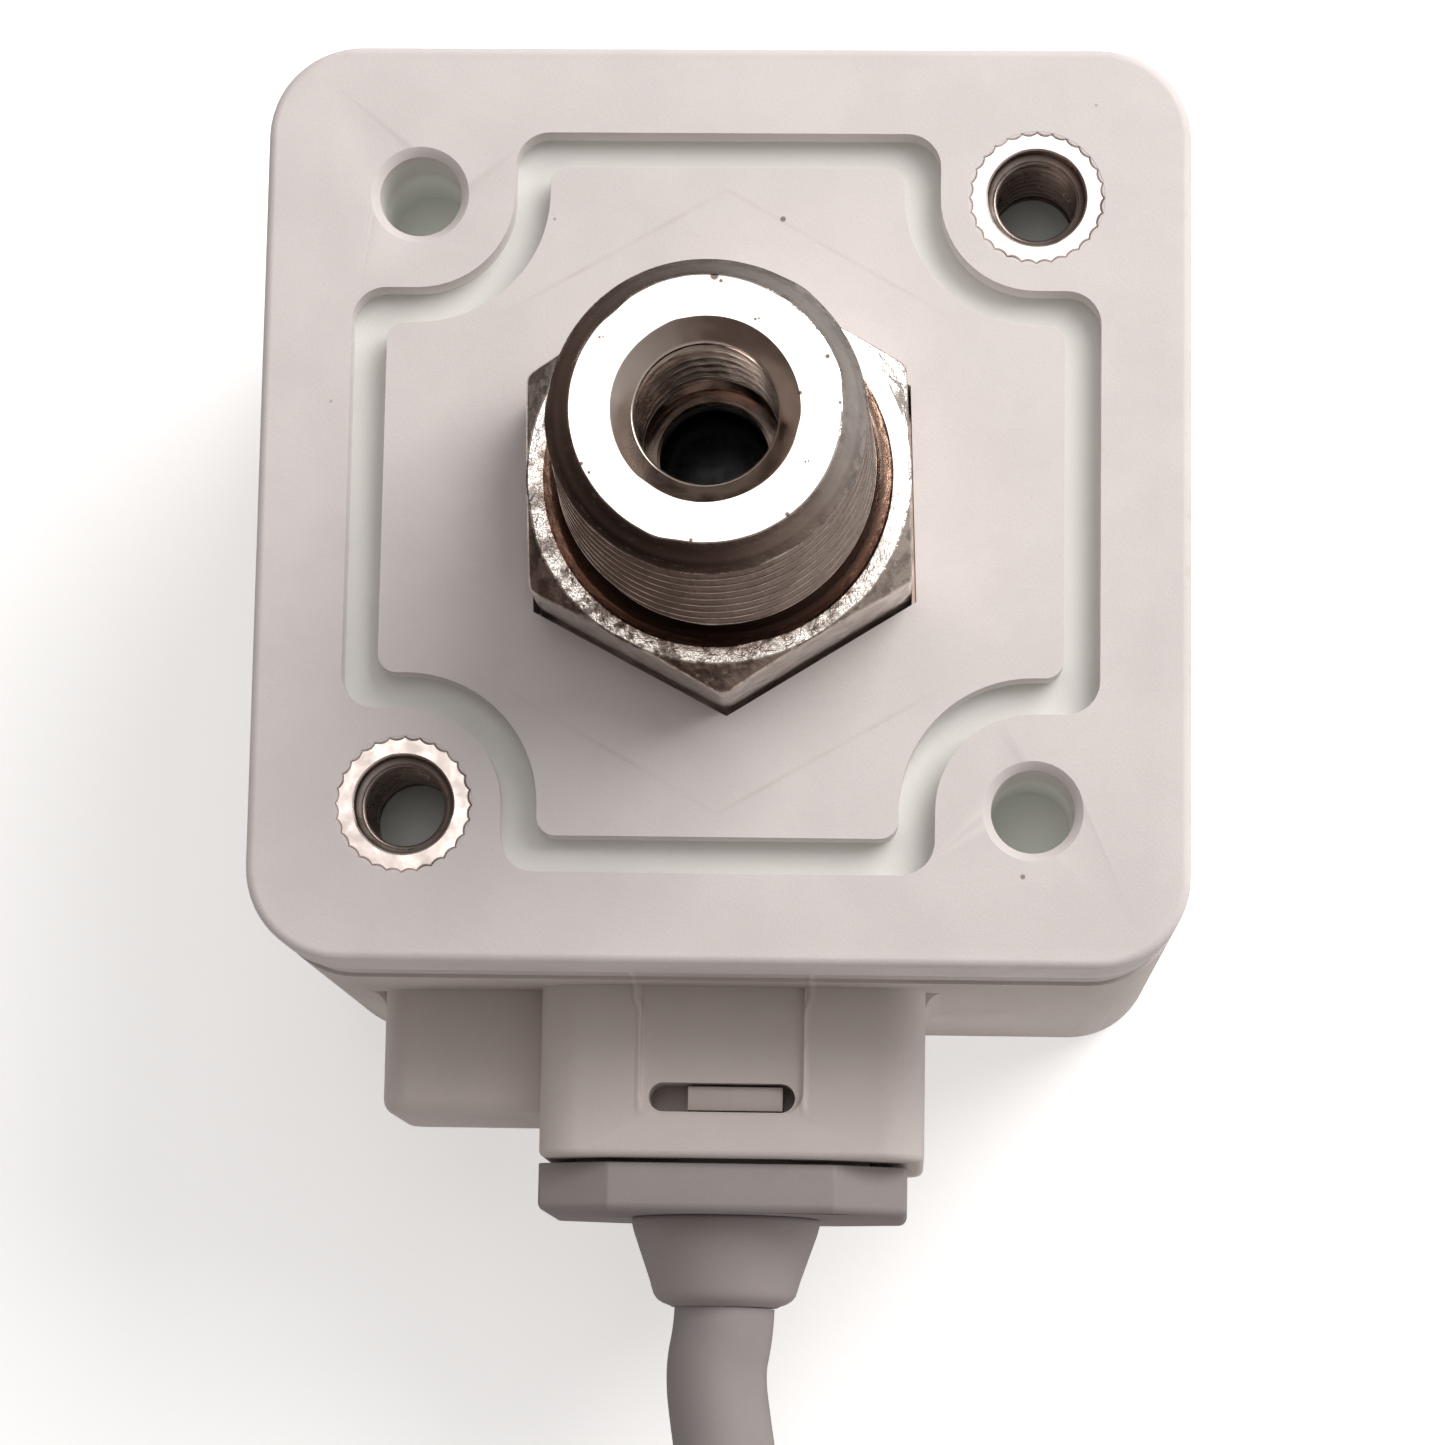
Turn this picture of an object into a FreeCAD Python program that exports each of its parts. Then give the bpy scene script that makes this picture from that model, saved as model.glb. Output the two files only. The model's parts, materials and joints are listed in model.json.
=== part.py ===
import FreeCAD, Part
import math
import os

# A 30 mm panel-type digital pressure sensor with a plug-in lead, in millimetres.
# The origin is the middle of the display face, which lies at height 0. +Z runs out
# through the pressure port, and -Y runs out of the socket, along the lead.

V = FreeCAD.Vector

# ---------------------------------------------------------------- driving dimensions
# Body
BODY_SIDE = 30.0
BODY_DEPTH = 25.0
BODY_CORNER = 3.0
WALL = 1.5
FRONT_WALL = 1.5
COVER_THICKNESS = 2.8
PARTING_GAP = 0.08
SPIGOT_WIDTH = 1.0
SPIGOT_HEIGHT = 1.2
EDGE_ROUND = 0.3
RIM_BAND = 2.45
RIM_STEP = 0.12

# Rear face
MOUNT_PITCH = 20.0
CROSS_REACH = 12.1
CROSS_HALF_WIDTH = 6.9
CROSS_CORNER = 1.1
ISLAND_CORNER = 0.6
GROOVE_WIDTH = 1.15
GROOVE_DEPTH = 1.0
BOSS_RADIUS = 3.1
BOSS_LENGTH = 3.3
PILOT_RADIUS = 1.33
PILOT_DEPTH = 5.2
PILOT_CHAMFER = 0.27

# M3 moulded-in inserts
INSERT_LENGTH = 5.0
INSERT_TIP_RADIUS = 2.2
INSERT_ROOT_RADIUS = 2.04
INSERT_TEETH = 28
M3_TAPPING_RADIUS = 1.25
INSERT_MOUTH_RADIUS = 1.55
INSERT_MOUTH_DEPTH = 0.35

# Port fitting: R 1/8 outside, M5 inside, 12 mm hexagon
HEX_ACROSS_FLATS = 12.0
HEX_HEIGHT = 3.7
HEX_TURN = 2.0
HEX_CHAMFER_ANGLE = 30.0
PORT_LENGTH = 12.9
R18_RADIUS = 4.864
PORT_LAND_RADIUS = 4.0
RELIEF_RADIUS = 4.3
RELIEF_WIDTH = 0.6
RING_GROOVE_RADIUS = 5.45
RING_GROOVE_DEPTH = 0.45
M5_TAPPING_RADIUS = 2.1
M5_MOUTH_RADIUS = 2.75
M5_DEPTH = 6.9
INLET_RADIUS = 1.7
INLET_LENGTH = 0.8
FLANGE_RADIUS = 9.0
FLANGE_THICKNESS = 1.8
STEM_RADIUS = 5.0
SEAL_RADIUS = 7.8
SEAL_SECTION = 0.42
SEAL_GROOVE_HALF = 0.52
SEAL_GROOVE_DEPTH = 0.84

# Sensor capsule in the fitting
CAPSULE_RADIUS = 3.42
CAPSULE_LENGTH = 6.6
CAPSULE_SEAL_SECTION = 0.29
CAPSULE_SEAL_RADIUS = 2.75
GEL_RADIUS = 2.1
GEL_DEPTH = 1.0
GEL_DOME = 0.15
RETAINER_RING_LENGTH = 1.5
RETAINER_RING_BORE = 2.2
LEAD_RADIUS = 0.22
LEAD_CIRCLE = 1.4
LEAD_BITE = 1.0

# Clamp plate that holds the fitting to the rear cover
CLAMP_THICKNESS = 0.8
CLAMP_ARM = 12.2
CLAMP_HALF_WIDTH = 4.5
CLAMP_SCREW_AT = 10.9
CLAMP_SCREW_RADIUS = 0.8
CLAMP_SCREW_HEAD_RADIUS = 1.4
CLAMP_SCREW_HEAD = 1.0
CLAMP_POST_RADIUS = 1.7
CLAMP_SCREW_BITE = 2.6
SCREW_SLOT_REACH = 1.0
SCREW_SLOT_HALF = 0.2
SCREW_SLOT_DEPTH = 0.5

# Gasket between case and cover
GASKET_WIDTH = 0.6
GASKET_DEPTH = 0.9

# Socket on the -Y side
SOCKET_LEFT = -6.1
SOCKET_RIGHT = 6.7
SOCKET_REACH = 5.65
SOCKET_HALF_HEIGHT = 5.5
SOCKET_ROUND = 1.5
CAVITY_HALF_WIDTH = 5.0
CAVITY_HALF_HEIGHT = 3.5
CAVITY_BACK = 1.0
POCKET_HALF_WIDTH = 2.7
POCKET_REACH = 4.25
POCKET_DEPTH = 0.3
POCKET_CORNER = 0.8
SLOT_HALF_LENGTH = 2.42
SLOT_HALF_WIDTH = 0.48
SLOT_AT = 3.66
SIDE_BLOCK_WIDTH = 5.45
SIDE_BLOCK_REACH = 4.2
SIDE_BLOCK_TOP = 3.0
SIDE_BLOCK_HEIGHT = 7.0
SIDE_BLOCK_ROUND = 0.9
SIDE_BLOCK_END_ROUND = 0.55
SOCKET_END_ROUND = 0.25
SOCKET_ROOT_ROUND = 0.6

# Socket pins
PIN_COUNT = 4
PIN_PITCH = 2.0
PIN_SIDE = 0.5
PIN_REACH = 4.2
PIN_INSIDE = 3.8
CARRIER_HALF_WIDTH = 4.4
CARRIER_HALF_HEIGHT = 1.6
CARRIER_FLANGE = 0.5
CARRIER_FLANGE_THICKNESS = 0.6

# Plug
PLUG_FLANGE_HALF_WIDTH = 6.15
PLUG_FLANGE_HALF_HEIGHT = 4.9
PLUG_FLANGE_THICKNESS = 1.6
PLUG_FLANGE_CUT_WIDE = 2.4
PLUG_FLANGE_CUT_HIGH = 1.3
PLUG_GAP = 0.15
PLUG_NOSE_LENGTH = 4.7
CONTACT_SIDE = 0.85
CONTACT_LENGTH = 3.7
BOOT_BASE_RADIUS = 3.22
BOOT_END_RADIUS = 2.4
BOOT_LENGTH = 3.0
BOOT_HOLLOW = 0.02
BOOT_END_ROUND = 0.35

# Latch on the plug
LATCH_HALF_WIDTH = 2.5
LATCH_PIN_RADIUS = 0.4
LATCH_BARREL_RADIUS = 0.72
LATCH_PIN_SETBACK = 0.85
LATCH_PIN_HEIGHT = 2.5
LATCH_ARM_THICKNESS = 0.7
LATCH_ARM_LENGTH = 2.6
LATCH_FLOOR = 1.5
HOOK_LEFT = -1.15
HOOK_RIGHT = 2.0
HOOK_THICKNESS = 0.8
HOOK_RISE = 1.2

# Display, keys and boards
BOARD_THICKNESS = 1.0
DISPLAY_BOARD_Z = 5.2
SENSOR_BOARD_ABOVE_PINS = 1.5
STEM_ABOVE_BOARD = 2.6
SENSOR_BOARD_CORNER = 1.0
SOLDER_TAIL = 0.3
BOARD_SCREW_INSET = 4.0
BOARD_SCREW_RADIUS = 0.75
BOARD_SCREW_HEAD_RADIUS = 1.4
BOARD_SCREW_HEAD = 1.0
BOARD_SCREW_TIP_GAP = 0.1
PILLAR_RADIUS = 1.6
PILLAR_FLOOR = 0.5
STANDOFF_RADIUS = 1.5
WINDOW_HALF_WIDTH = 9.45
WINDOW_HALF_HEIGHT = 4.2
WINDOW_AT_Y = 4.7
WINDOW_SUNK = 0.3
WINDOW_FACE = 0.6
WINDOW_LEDGE = 0.75
GLASS_THICKNESS = 1.1
GLASS_INSET = 0.15
GLASS_GAP = 0.25
BACKLIGHT_HALF_WIDTH = 10.0
BACKLIGHT_HALF_HEIGHT = 4.45
BACKLIGHT_CORNER = 0.4
DIGIT_COUNT = 4
DIGIT_HEIGHT = 4.6
DIGIT_WIDTH = 2.5
DIGIT_STROKE = 0.45
DIGIT_PITCH = 3.9
DIGIT_RAISED = 0.06
KEY_PITCH = 6.6
KEY_AT_Y = -7.4
KEY_HALF_WIDTH = 2.6
KEY_HALF_HEIGHT = 1.7
KEY_ROUND = 0.8
KEY_SUNK = 0.35
KEY_FLANGE = 0.4
KEY_FLANGE_THICKNESS = 0.5
KEY_STEM_RADIUS = 1.0
KEY_TRAVEL = 0.3
SWITCH_HALF = 2.1
SWITCH_HEIGHT = 1.6
SWITCH_ROOF = 0.5
SWITCH_FLOOR = 0.2
PLUNGER_PROUD = 0.4
PLUNGER_RADIUS = 0.9
DOME_RADIUS = 1.7
DOME_RISE = 0.12
DOME_THICKNESS = 0.05
LENS_RADIUS = 0.75
LENS_AT_X = 8.6
LENS_AT_Y = -3.2
LED_HEIGHT = 0.7
LED_HALF_WIDTH = 0.8
LED_HALF_HEIGHT = 0.4
HEADER_PINS = 6
HEADER_PITCH = 2.0
HEADER_AT_Y = 8.2
HEADER_HALF_DEPTH = 1.2
HEADER_BODY_HEIGHT = 2.5
HEADER_PIN_SETBACK = 0.2

# Components on the boards
CONTROLLER_HALF = 3.5
CONTROLLER_AT_Y = -1.0
CONTROLLER_HEIGHT = 1.2
CONTROLLER_LEADS = 9
CONTROLLER_LEAD_PITCH = 0.7
CONTROLLER_LEAD = 0.3
CONTROLLER_LEAD_THICKNESS = 0.2
CHIP_STAND = 0.1
AMPLIFIER_AT = (4.5, 4.0)
AMPLIFIER_HALF = (2.4, 1.9)
AMPLIFIER_HEIGHT = 1.4
AMPLIFIER_LEGS = 4
AMPLIFIER_LEG_PITCH = 1.27
AMPLIFIER_LEG_AT = 2.2
AMPLIFIER_LEG_HALF = (0.2, 0.3)
AMPLIFIER_LEG_HEIGHT = 0.3
TRANSISTOR_HALF = (1.4, 0.8)
TRANSISTOR_HEIGHT = 1.1
TRANSISTOR_AT = [(-6.0, -5.5), (-1.5, -5.5), (3.0, -5.5)]
SMALL_CAPACITOR_HALF = (0.6, 0.4)
SMALL_CAPACITOR_HEIGHT = 0.7
SMALL_CAPACITOR_AT = [(-8.0, 0.0), (-6.0, 0.0), (-4.0, 0.0)]
LARGE_CAPACITOR_HALF = (0.8, 0.5)
LARGE_CAPACITOR_HEIGHT = 0.8
LARGE_CAPACITOR_AT = [(-7.0, -8.5), (-3.5, -8.5), (3.5, -8.5), (7.0, -8.5)]

# Lead
CABLE_RADIUS = 1.7
HANK_LIFT = 0.5
HANK_INNER = 11.5
HANK_PITCH = 3.4
HANK_COLUMNS = 2
HANK_ROWS = 5
HANK_RUN = 60.0
HANK_NEAR_Y = -75.0
TIE_THICKNESS = 0.5
TIE_WIDTH = 4.0
TIE_AT = 38.0
CORE_RADIUS = 0.5
CORE_LENGTH = 30.0
TINNED_LENGTH = 5.0
TINNED_RADIUS = 0.3
CORE_GAP = 0.02
JACKET_END_AT = 25.0
BEND_SHARE = 0.45

# Named clearances
HEX_CLEARANCE = 0.12
INSERT_CLEARANCE = 0.01
SEAT_CLEARANCE = 0.05
SCREW_CLEARANCE = 0.1
RUN_CLEARANCE = 0.05
PIN_CLEARANCE = 0.03
KEY_CLEARANCE = 0.1
PLUG_CLEARANCE = 0.12
FREE_CLEARANCE = 0.3
BOARD_CLEARANCE = 0.4

# Points that the lead's straight runs meet at, from the boot to the hank
CABLE_ROUTE = [
    (0.0, -25.4, 12.5),
    (0.0, -31.0, 12.5),
    (-0.5, -38.0, 11.5),
    (-2.6, -45.5, 9.1),
    (-6.6, -52.5, 6.4),
    (-10.8, -59.5, 3.9),
    (-13.8, -67.0, 2.5),
    (-14.9, -75.0, 2.2),
]

# ---------------------------------------------------------------- places that follow
half = BODY_SIDE / 2
inner_half = half - WALL
mount_at = MOUNT_PITCH / 2
cover_z = BODY_DEPTH - COVER_THICKNESS
rim_z = cover_z - PARTING_GAP
corners = [(1, 1), (-1, 1), (-1, -1), (1, -1)]
hole_corners = [(-1, 1), (1, -1)]
insert_corners = {"insert_a": (1, 1), "insert_b": (-1, -1)}

mid_z = BODY_DEPTH / 2
socket_end = -half - SOCKET_REACH
cavity_back_y = -half - CAVITY_BACK
slot_y = -half - SLOT_AT
pin_x = [(i - (PIN_COUNT - 1) / 2) * PIN_PITCH for i in range(PIN_COUNT)]
pin_tail_y = -half + PIN_INSIDE

sensor_board_z = mid_z + SENSOR_BOARD_ABOVE_PINS
sensor_board_top = sensor_board_z + BOARD_THICKNESS
display_board_top = DISPLAY_BOARD_Z + BOARD_THICKNESS
board_screw_at = half - BOARD_SCREW_INSET
header_x = [(i - (HEADER_PINS - 1) / 2) * HEADER_PITCH for i in range(HEADER_PINS)]

port_end_z = BODY_DEPTH + PORT_LENGTH
hex_top_z = BODY_DEPTH + HEX_HEIGHT
flange_z = cover_z - FLANGE_THICKNESS
stem_z = sensor_board_top + STEM_ABOVE_BOARD
inlet_z = port_end_z - M5_DEPTH
capsule_roof = inlet_z - INLET_LENGTH
capsule_top = capsule_roof - 2 * CAPSULE_SEAL_SECTION
capsule_z = capsule_top - CAPSULE_LENGTH
ring_z = capsule_z - RETAINER_RING_LENGTH
clamp_z = flange_z - CLAMP_THICKNESS

window_inner = WINDOW_SUNK + WINDOW_FACE
glass_z = FRONT_WALL + GLASS_GAP
key_flange_z = FRONT_WALL + SEAT_CLEARANCE
key_x = {"set": -KEY_PITCH, "up": 0.0, "down": KEY_PITCH}
switch_z = DISPLAY_BOARD_Z - SWITCH_HEIGHT
switch_floor = DISPLAY_BOARD_Z - SWITCH_FLOOR
plunger_z = switch_z - PLUNGER_PROUD
plunger_end = switch_floor - DOME_RISE - DOME_THICKNESS - KEY_TRAVEL - PIN_CLEARANCE

plug_face = socket_end - PLUG_GAP
plug_back = plug_face - PLUG_FLANGE_THICKNESS
nose_tip = plug_face + PLUG_NOSE_LENGTH
nose_half_width = CAVITY_HALF_WIDTH - PLUG_CLEARANCE
nose_half_height = CAVITY_HALF_HEIGHT - PLUG_CLEARANCE
nose_top = mid_z + nose_half_height
boot_end = plug_back - BOOT_LENGTH
latch_y = nose_tip - LATCH_PIN_SETBACK
latch_z = mid_z + LATCH_PIN_HEIGHT
hook_top = mid_z + CAVITY_HALF_HEIGHT + HOOK_RISE

hank_outer = HANK_INNER + (HANK_COLUMNS - 1) * HANK_PITCH
hank_far_y = HANK_NEAR_Y - HANK_RUN
hank_top = HANK_LIFT + (HANK_ROWS - 1) * HANK_PITCH + 2 * CABLE_RADIUS
top_lane_z = hank_top - CABLE_RADIUS
jacket_end_y = HANK_NEAR_Y - JACKET_END_AT
core_end_y = jacket_end_y - CORE_LENGTH


# ---------------------------------------------------------------- shape helpers
def box(x0, x1, y0, y1, z0, z1):
    return Part.makeBox(x1 - x0, y1 - y0, z1 - z0, V(x0, y0, z0))


def rod(radius, z0, z1, x=0.0, y=0.0):
    return Part.makeCylinder(radius, z1 - z0, V(x, y, z0))


def rod_x(radius, x0, x1, y, z):
    return Part.makeCylinder(radius, x1 - x0, V(x0, y, z), V(1, 0, 0))


def rod_y(radius, y0, y1, x, z):
    return Part.makeCylinder(radius, y1 - y0, V(x, y0, z), V(0, 1, 0))


def edges_along(shape, direction):
    """The straight edges of a shape that run along one direction."""
    found = []
    for edge in shape.Edges:
        a, b = edge.Vertexes[0].Point, edge.Vertexes[-1].Point
        if (b - a).Length > 1e-6 and abs((b - a).normalize().dot(direction)) > 0.999:
            found.append(edge)
    return found


def edges_at_y(shape, y):
    """The edges that lie in the plane at y."""
    return [e for e in shape.Edges if abs(e.BoundBox.YMin - y) + abs(e.BoundBox.YMax - y) < 1e-5]


def plate(half_x, half_y, corner, z0, z1, x=0.0, y=0.0):
    """A block with rounded upright edges."""
    block = box(x - half_x, x + half_x, y - half_y, y + half_y, z0, z1)
    return block.makeFillet(corner, edges_along(block, V(0, 0, 1)))


def tube(outer, inner, z0, z1, x=0.0, y=0.0):
    return rod(outer, z0, z1, x, y).cut(rod(inner, z0, z1, x, y))


def prism(outline, thickness):
    """A solid from a closed list of points, thickened by a vector."""
    return Part.Face(Part.makePolygon(outline + outline[:1])).extrude(thickness)


def chip(x, y, half_x, half_y, z0, z1):
    """A block around an upright axis."""
    return box(x - half_x, x + half_x, y - half_y, y + half_y, z0, z1)


def line(a, b):
    return Part.LineSegment(a, b).toShape()


def arc(a, middle, b):
    return Part.Arc(a, middle, b).toShape()


def cross_quarter(reach, half_width, corner, z):
    """A quarter of the cross: two arm ends joined by an arc around a mounting hole."""
    turn = corner * (1 - math.sqrt(0.5))
    bend = (mount_at - half_width) * math.sqrt(0.5)
    return [
        line(V(0, reach, z), V(half_width - corner, reach, z)),
        arc(
            V(half_width - corner, reach, z),
            V(half_width - turn, reach - turn, z),
            V(half_width, reach - corner, z),
        ),
        line(V(half_width, reach - corner, z), V(half_width, mount_at, z)),
        arc(
            V(half_width, mount_at, z),
            V(mount_at - bend, mount_at - bend, z),
            V(mount_at, half_width, z),
        ),
        line(V(mount_at, half_width, z), V(reach - corner, half_width, z)),
        arc(
            V(reach - corner, half_width, z),
            V(reach - turn, half_width - turn, z),
            V(reach, half_width - corner, z),
        ),
        line(V(reach, half_width - corner, z), V(reach, 0, z)),
    ]


def cross(reach, half_width, corner, z0, z1):
    """A solid cross that passes the four mounting holes on arcs around them."""
    edges = []
    for quarter in range(4):
        for edge in cross_quarter(reach, half_width, corner, z0):
            edges.append(edge.rotate(V(0, 0, 0), V(0, 0, 1), -90 * quarter))
    outline = Part.Wire(Part.__sortEdges__(edges))
    return Part.Face(outline).extrude(V(0, 0, z1 - z0))


def hexagon(across_flats, z0, z1):
    """A hexagonal prism with one corner near +Y."""
    radius = across_flats / 2 / math.cos(math.pi / 6)
    points = []
    for k in range(6):
        angle = math.radians(90 + HEX_TURN + 60 * k)
        points.append(V(radius * math.cos(angle), radius * math.sin(angle), z0))
    return prism(points, V(0, 0, z1 - z0))


def oblong_z(half_length, half_width, z0, z1, y):
    """An upright slot shape with round ends, long in X."""
    straight = half_length - half_width
    middle = box(-straight, straight, y - half_width, y + half_width, z0, z1)
    ends = [rod(half_width, z0, z1, side * straight, y) for side in (-1, 1)]
    return middle.multiFuse(ends).removeSplitter()


def racetrack(radius, z0, z1):
    """The hank's outline at one radius: two straight runs and two round ends."""
    middle = box(-radius, radius, hank_far_y, HANK_NEAR_Y, z0, z1)
    ends = [rod(radius, z0, z1, 0, y) for y in (hank_far_y, HANK_NEAR_Y)]
    return middle.multiFuse(ends).removeSplitter()


def square_ring(outer_half, width, corner, z0, z1):
    outer = plate(outer_half, outer_half, corner, z0, z1)
    return outer.cut(plate(outer_half - width, outer_half - width, corner - width, z0, z1))


def group(solids):
    return Part.makeCompound(solids)


# ---------------------------------------------------------------- case and cover
def socket_root(x, side, z0, z1):
    """The hollow corner where a wall of the socket, facing side, meets the case."""
    size = SOCKET_ROOT_ROUND
    x0, x1 = sorted((x - side * size, x + side * size))
    web = box(x0, x1, -half - size, -half + WALL / 2, z0, z1)
    return web.cut(rod(size, z0, z1, x + side * size, -half - size))


def socket_outside():
    housing = box(
        SOCKET_LEFT,
        SOCKET_RIGHT,
        socket_end,
        -half + WALL / 2,
        mid_z - SOCKET_HALF_HEIGHT,
        mid_z + SOCKET_HALF_HEIGHT,
    )
    housing = housing.makeFillet(SOCKET_ROUND, edges_along(housing, V(0, 1, 0)))
    housing = housing.makeFillet(SOCKET_END_ROUND, edges_at_y(housing, socket_end))
    block = box(
        SOCKET_LEFT - SIDE_BLOCK_WIDTH,
        SOCKET_LEFT + SOCKET_ROUND,
        -half - SIDE_BLOCK_REACH,
        -half + WALL / 2,
        mid_z + SIDE_BLOCK_TOP - SIDE_BLOCK_HEIGHT,
        mid_z + SIDE_BLOCK_TOP,
    )
    sharp = [e for e in edges_along(block, V(0, 1, 0)) if e.Vertexes[0].X < SOCKET_LEFT]
    block = block.makeFillet(SIDE_BLOCK_ROUND, sharp)
    block_end = -half - SIDE_BLOCK_REACH
    block = block.makeFillet(SIDE_BLOCK_END_ROUND, edges_at_y(block, block_end))
    roots = [
        socket_root(
            SOCKET_RIGHT,
            1,
            mid_z - SOCKET_HALF_HEIGHT + SOCKET_ROUND,
            mid_z + SOCKET_HALF_HEIGHT - SOCKET_ROUND,
        ),
        socket_root(
            SOCKET_LEFT - SIDE_BLOCK_WIDTH,
            -1,
            mid_z + SIDE_BLOCK_TOP - SIDE_BLOCK_HEIGHT + SIDE_BLOCK_ROUND,
            mid_z + SIDE_BLOCK_TOP - SIDE_BLOCK_ROUND,
        ),
    ]
    return housing.multiFuse([block] + roots)


def socket_inside():
    """The plug's cavity, the pin carrier's window, the latch slot and the way to it."""
    cavity = box(
        -CAVITY_HALF_WIDTH,
        CAVITY_HALF_WIDTH,
        socket_end,
        cavity_back_y,
        mid_z - CAVITY_HALF_HEIGHT,
        mid_z + CAVITY_HALF_HEIGHT,
    )
    window = box(
        -CARRIER_HALF_WIDTH - SEAT_CLEARANCE,
        CARRIER_HALF_WIDTH + SEAT_CLEARANCE,
        cavity_back_y,
        -inner_half,
        mid_z - CARRIER_HALF_HEIGHT - SEAT_CLEARANCE,
        mid_z + CARRIER_HALF_HEIGHT + SEAT_CLEARANCE,
    )
    top = mid_z + SOCKET_HALF_HEIGHT
    slot = oblong_z(SLOT_HALF_LENGTH, SLOT_HALF_WIDTH, mid_z, top, slot_y)
    keyway = box(
        HOOK_LEFT - FREE_CLEARANCE,
        HOOK_RIGHT + FREE_CLEARANCE,
        socket_end,
        slot_y,
        mid_z,
        hook_top + FREE_CLEARANCE,
    )
    pocket = box(
        -POCKET_HALF_WIDTH,
        POCKET_HALF_WIDTH,
        -half - POCKET_REACH,
        -half,
        top - POCKET_DEPTH,
        top,
    )
    outer = [
        e for e in edges_along(pocket, V(0, 0, 1)) if e.Vertexes[0].Y < -half - WALL
    ]
    pocket = pocket.makeFillet(POCKET_CORNER, outer)
    return [cavity, window, slot, keyway, pocket]


def front_openings():
    face = plate(
        WINDOW_HALF_WIDTH + SEAT_CLEARANCE,
        WINDOW_HALF_HEIGHT + SEAT_CLEARANCE,
        KEY_ROUND,
        0,
        window_inner,
        0,
        WINDOW_AT_Y,
    )
    ledge = plate(
        WINDOW_HALF_WIDTH + WINDOW_LEDGE + SEAT_CLEARANCE,
        WINDOW_HALF_HEIGHT + WINDOW_LEDGE + SEAT_CLEARANCE,
        KEY_ROUND,
        window_inner,
        FRONT_WALL,
        0,
        WINDOW_AT_Y,
    )
    cuts = [face, ledge]
    for x in key_x.values():
        cuts.append(
            plate(
                KEY_HALF_WIDTH + KEY_CLEARANCE,
                KEY_HALF_HEIGHT + KEY_CLEARANCE,
                KEY_ROUND,
                0,
                FRONT_WALL,
                x,
                KEY_AT_Y,
            )
        )
    for side in (-1, 1):
        cuts.append(rod(LENS_RADIUS + SEAT_CLEARANCE, 0, FRONT_WALL, side * LENS_AT_X, LENS_AT_Y))
    return cuts


def make_front_case():
    shell = plate(half, half, BODY_CORNER, 0, rim_z)
    front_edges = [e for e in shell.Edges if e.BoundBox.ZMax < 1e-6]
    shell = shell.makeFillet(EDGE_ROUND, front_edges)
    band = square_ring(half, RIM_STEP, BODY_CORNER, rim_z - RIM_BAND, rim_z)
    shell = shell.cut(band).fuse(socket_outside())
    shell = shell.cut(plate(inner_half, inner_half, BODY_CORNER - WALL, FRONT_WALL, rim_z))
    gasket_outer = half - (WALL - GASKET_WIDTH) / 2
    seat = square_ring(
        gasket_outer + SEAT_CLEARANCE,
        GASKET_WIDTH + 2 * SEAT_CLEARANCE,
        BODY_CORNER - (WALL - GASKET_WIDTH) / 2,
        rim_z - GASKET_DEPTH,
        rim_z,
    )
    pillars = []
    pilots = []
    for sx, sy in corners:
        x, y = sx * board_screw_at, sy * board_screw_at
        pillars.append(rod(PILLAR_RADIUS, FRONT_WALL, DISPLAY_BOARD_Z, x, y))
        pilot_z = FRONT_WALL + PILLAR_FLOOR
        pilots.append(rod(BOARD_SCREW_RADIUS, pilot_z, DISPLAY_BOARD_Z, x, y))
    shell = shell.multiFuse(pillars)
    return shell.cut([seat] + socket_inside() + front_openings() + pilots).removeSplitter()


def make_cover_gasket():
    return square_ring(
        half - (WALL - GASKET_WIDTH) / 2,
        GASKET_WIDTH,
        BODY_CORNER - (WALL - GASKET_WIDTH) / 2,
        rim_z - GASKET_DEPTH,
        cover_z,
    )


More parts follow.
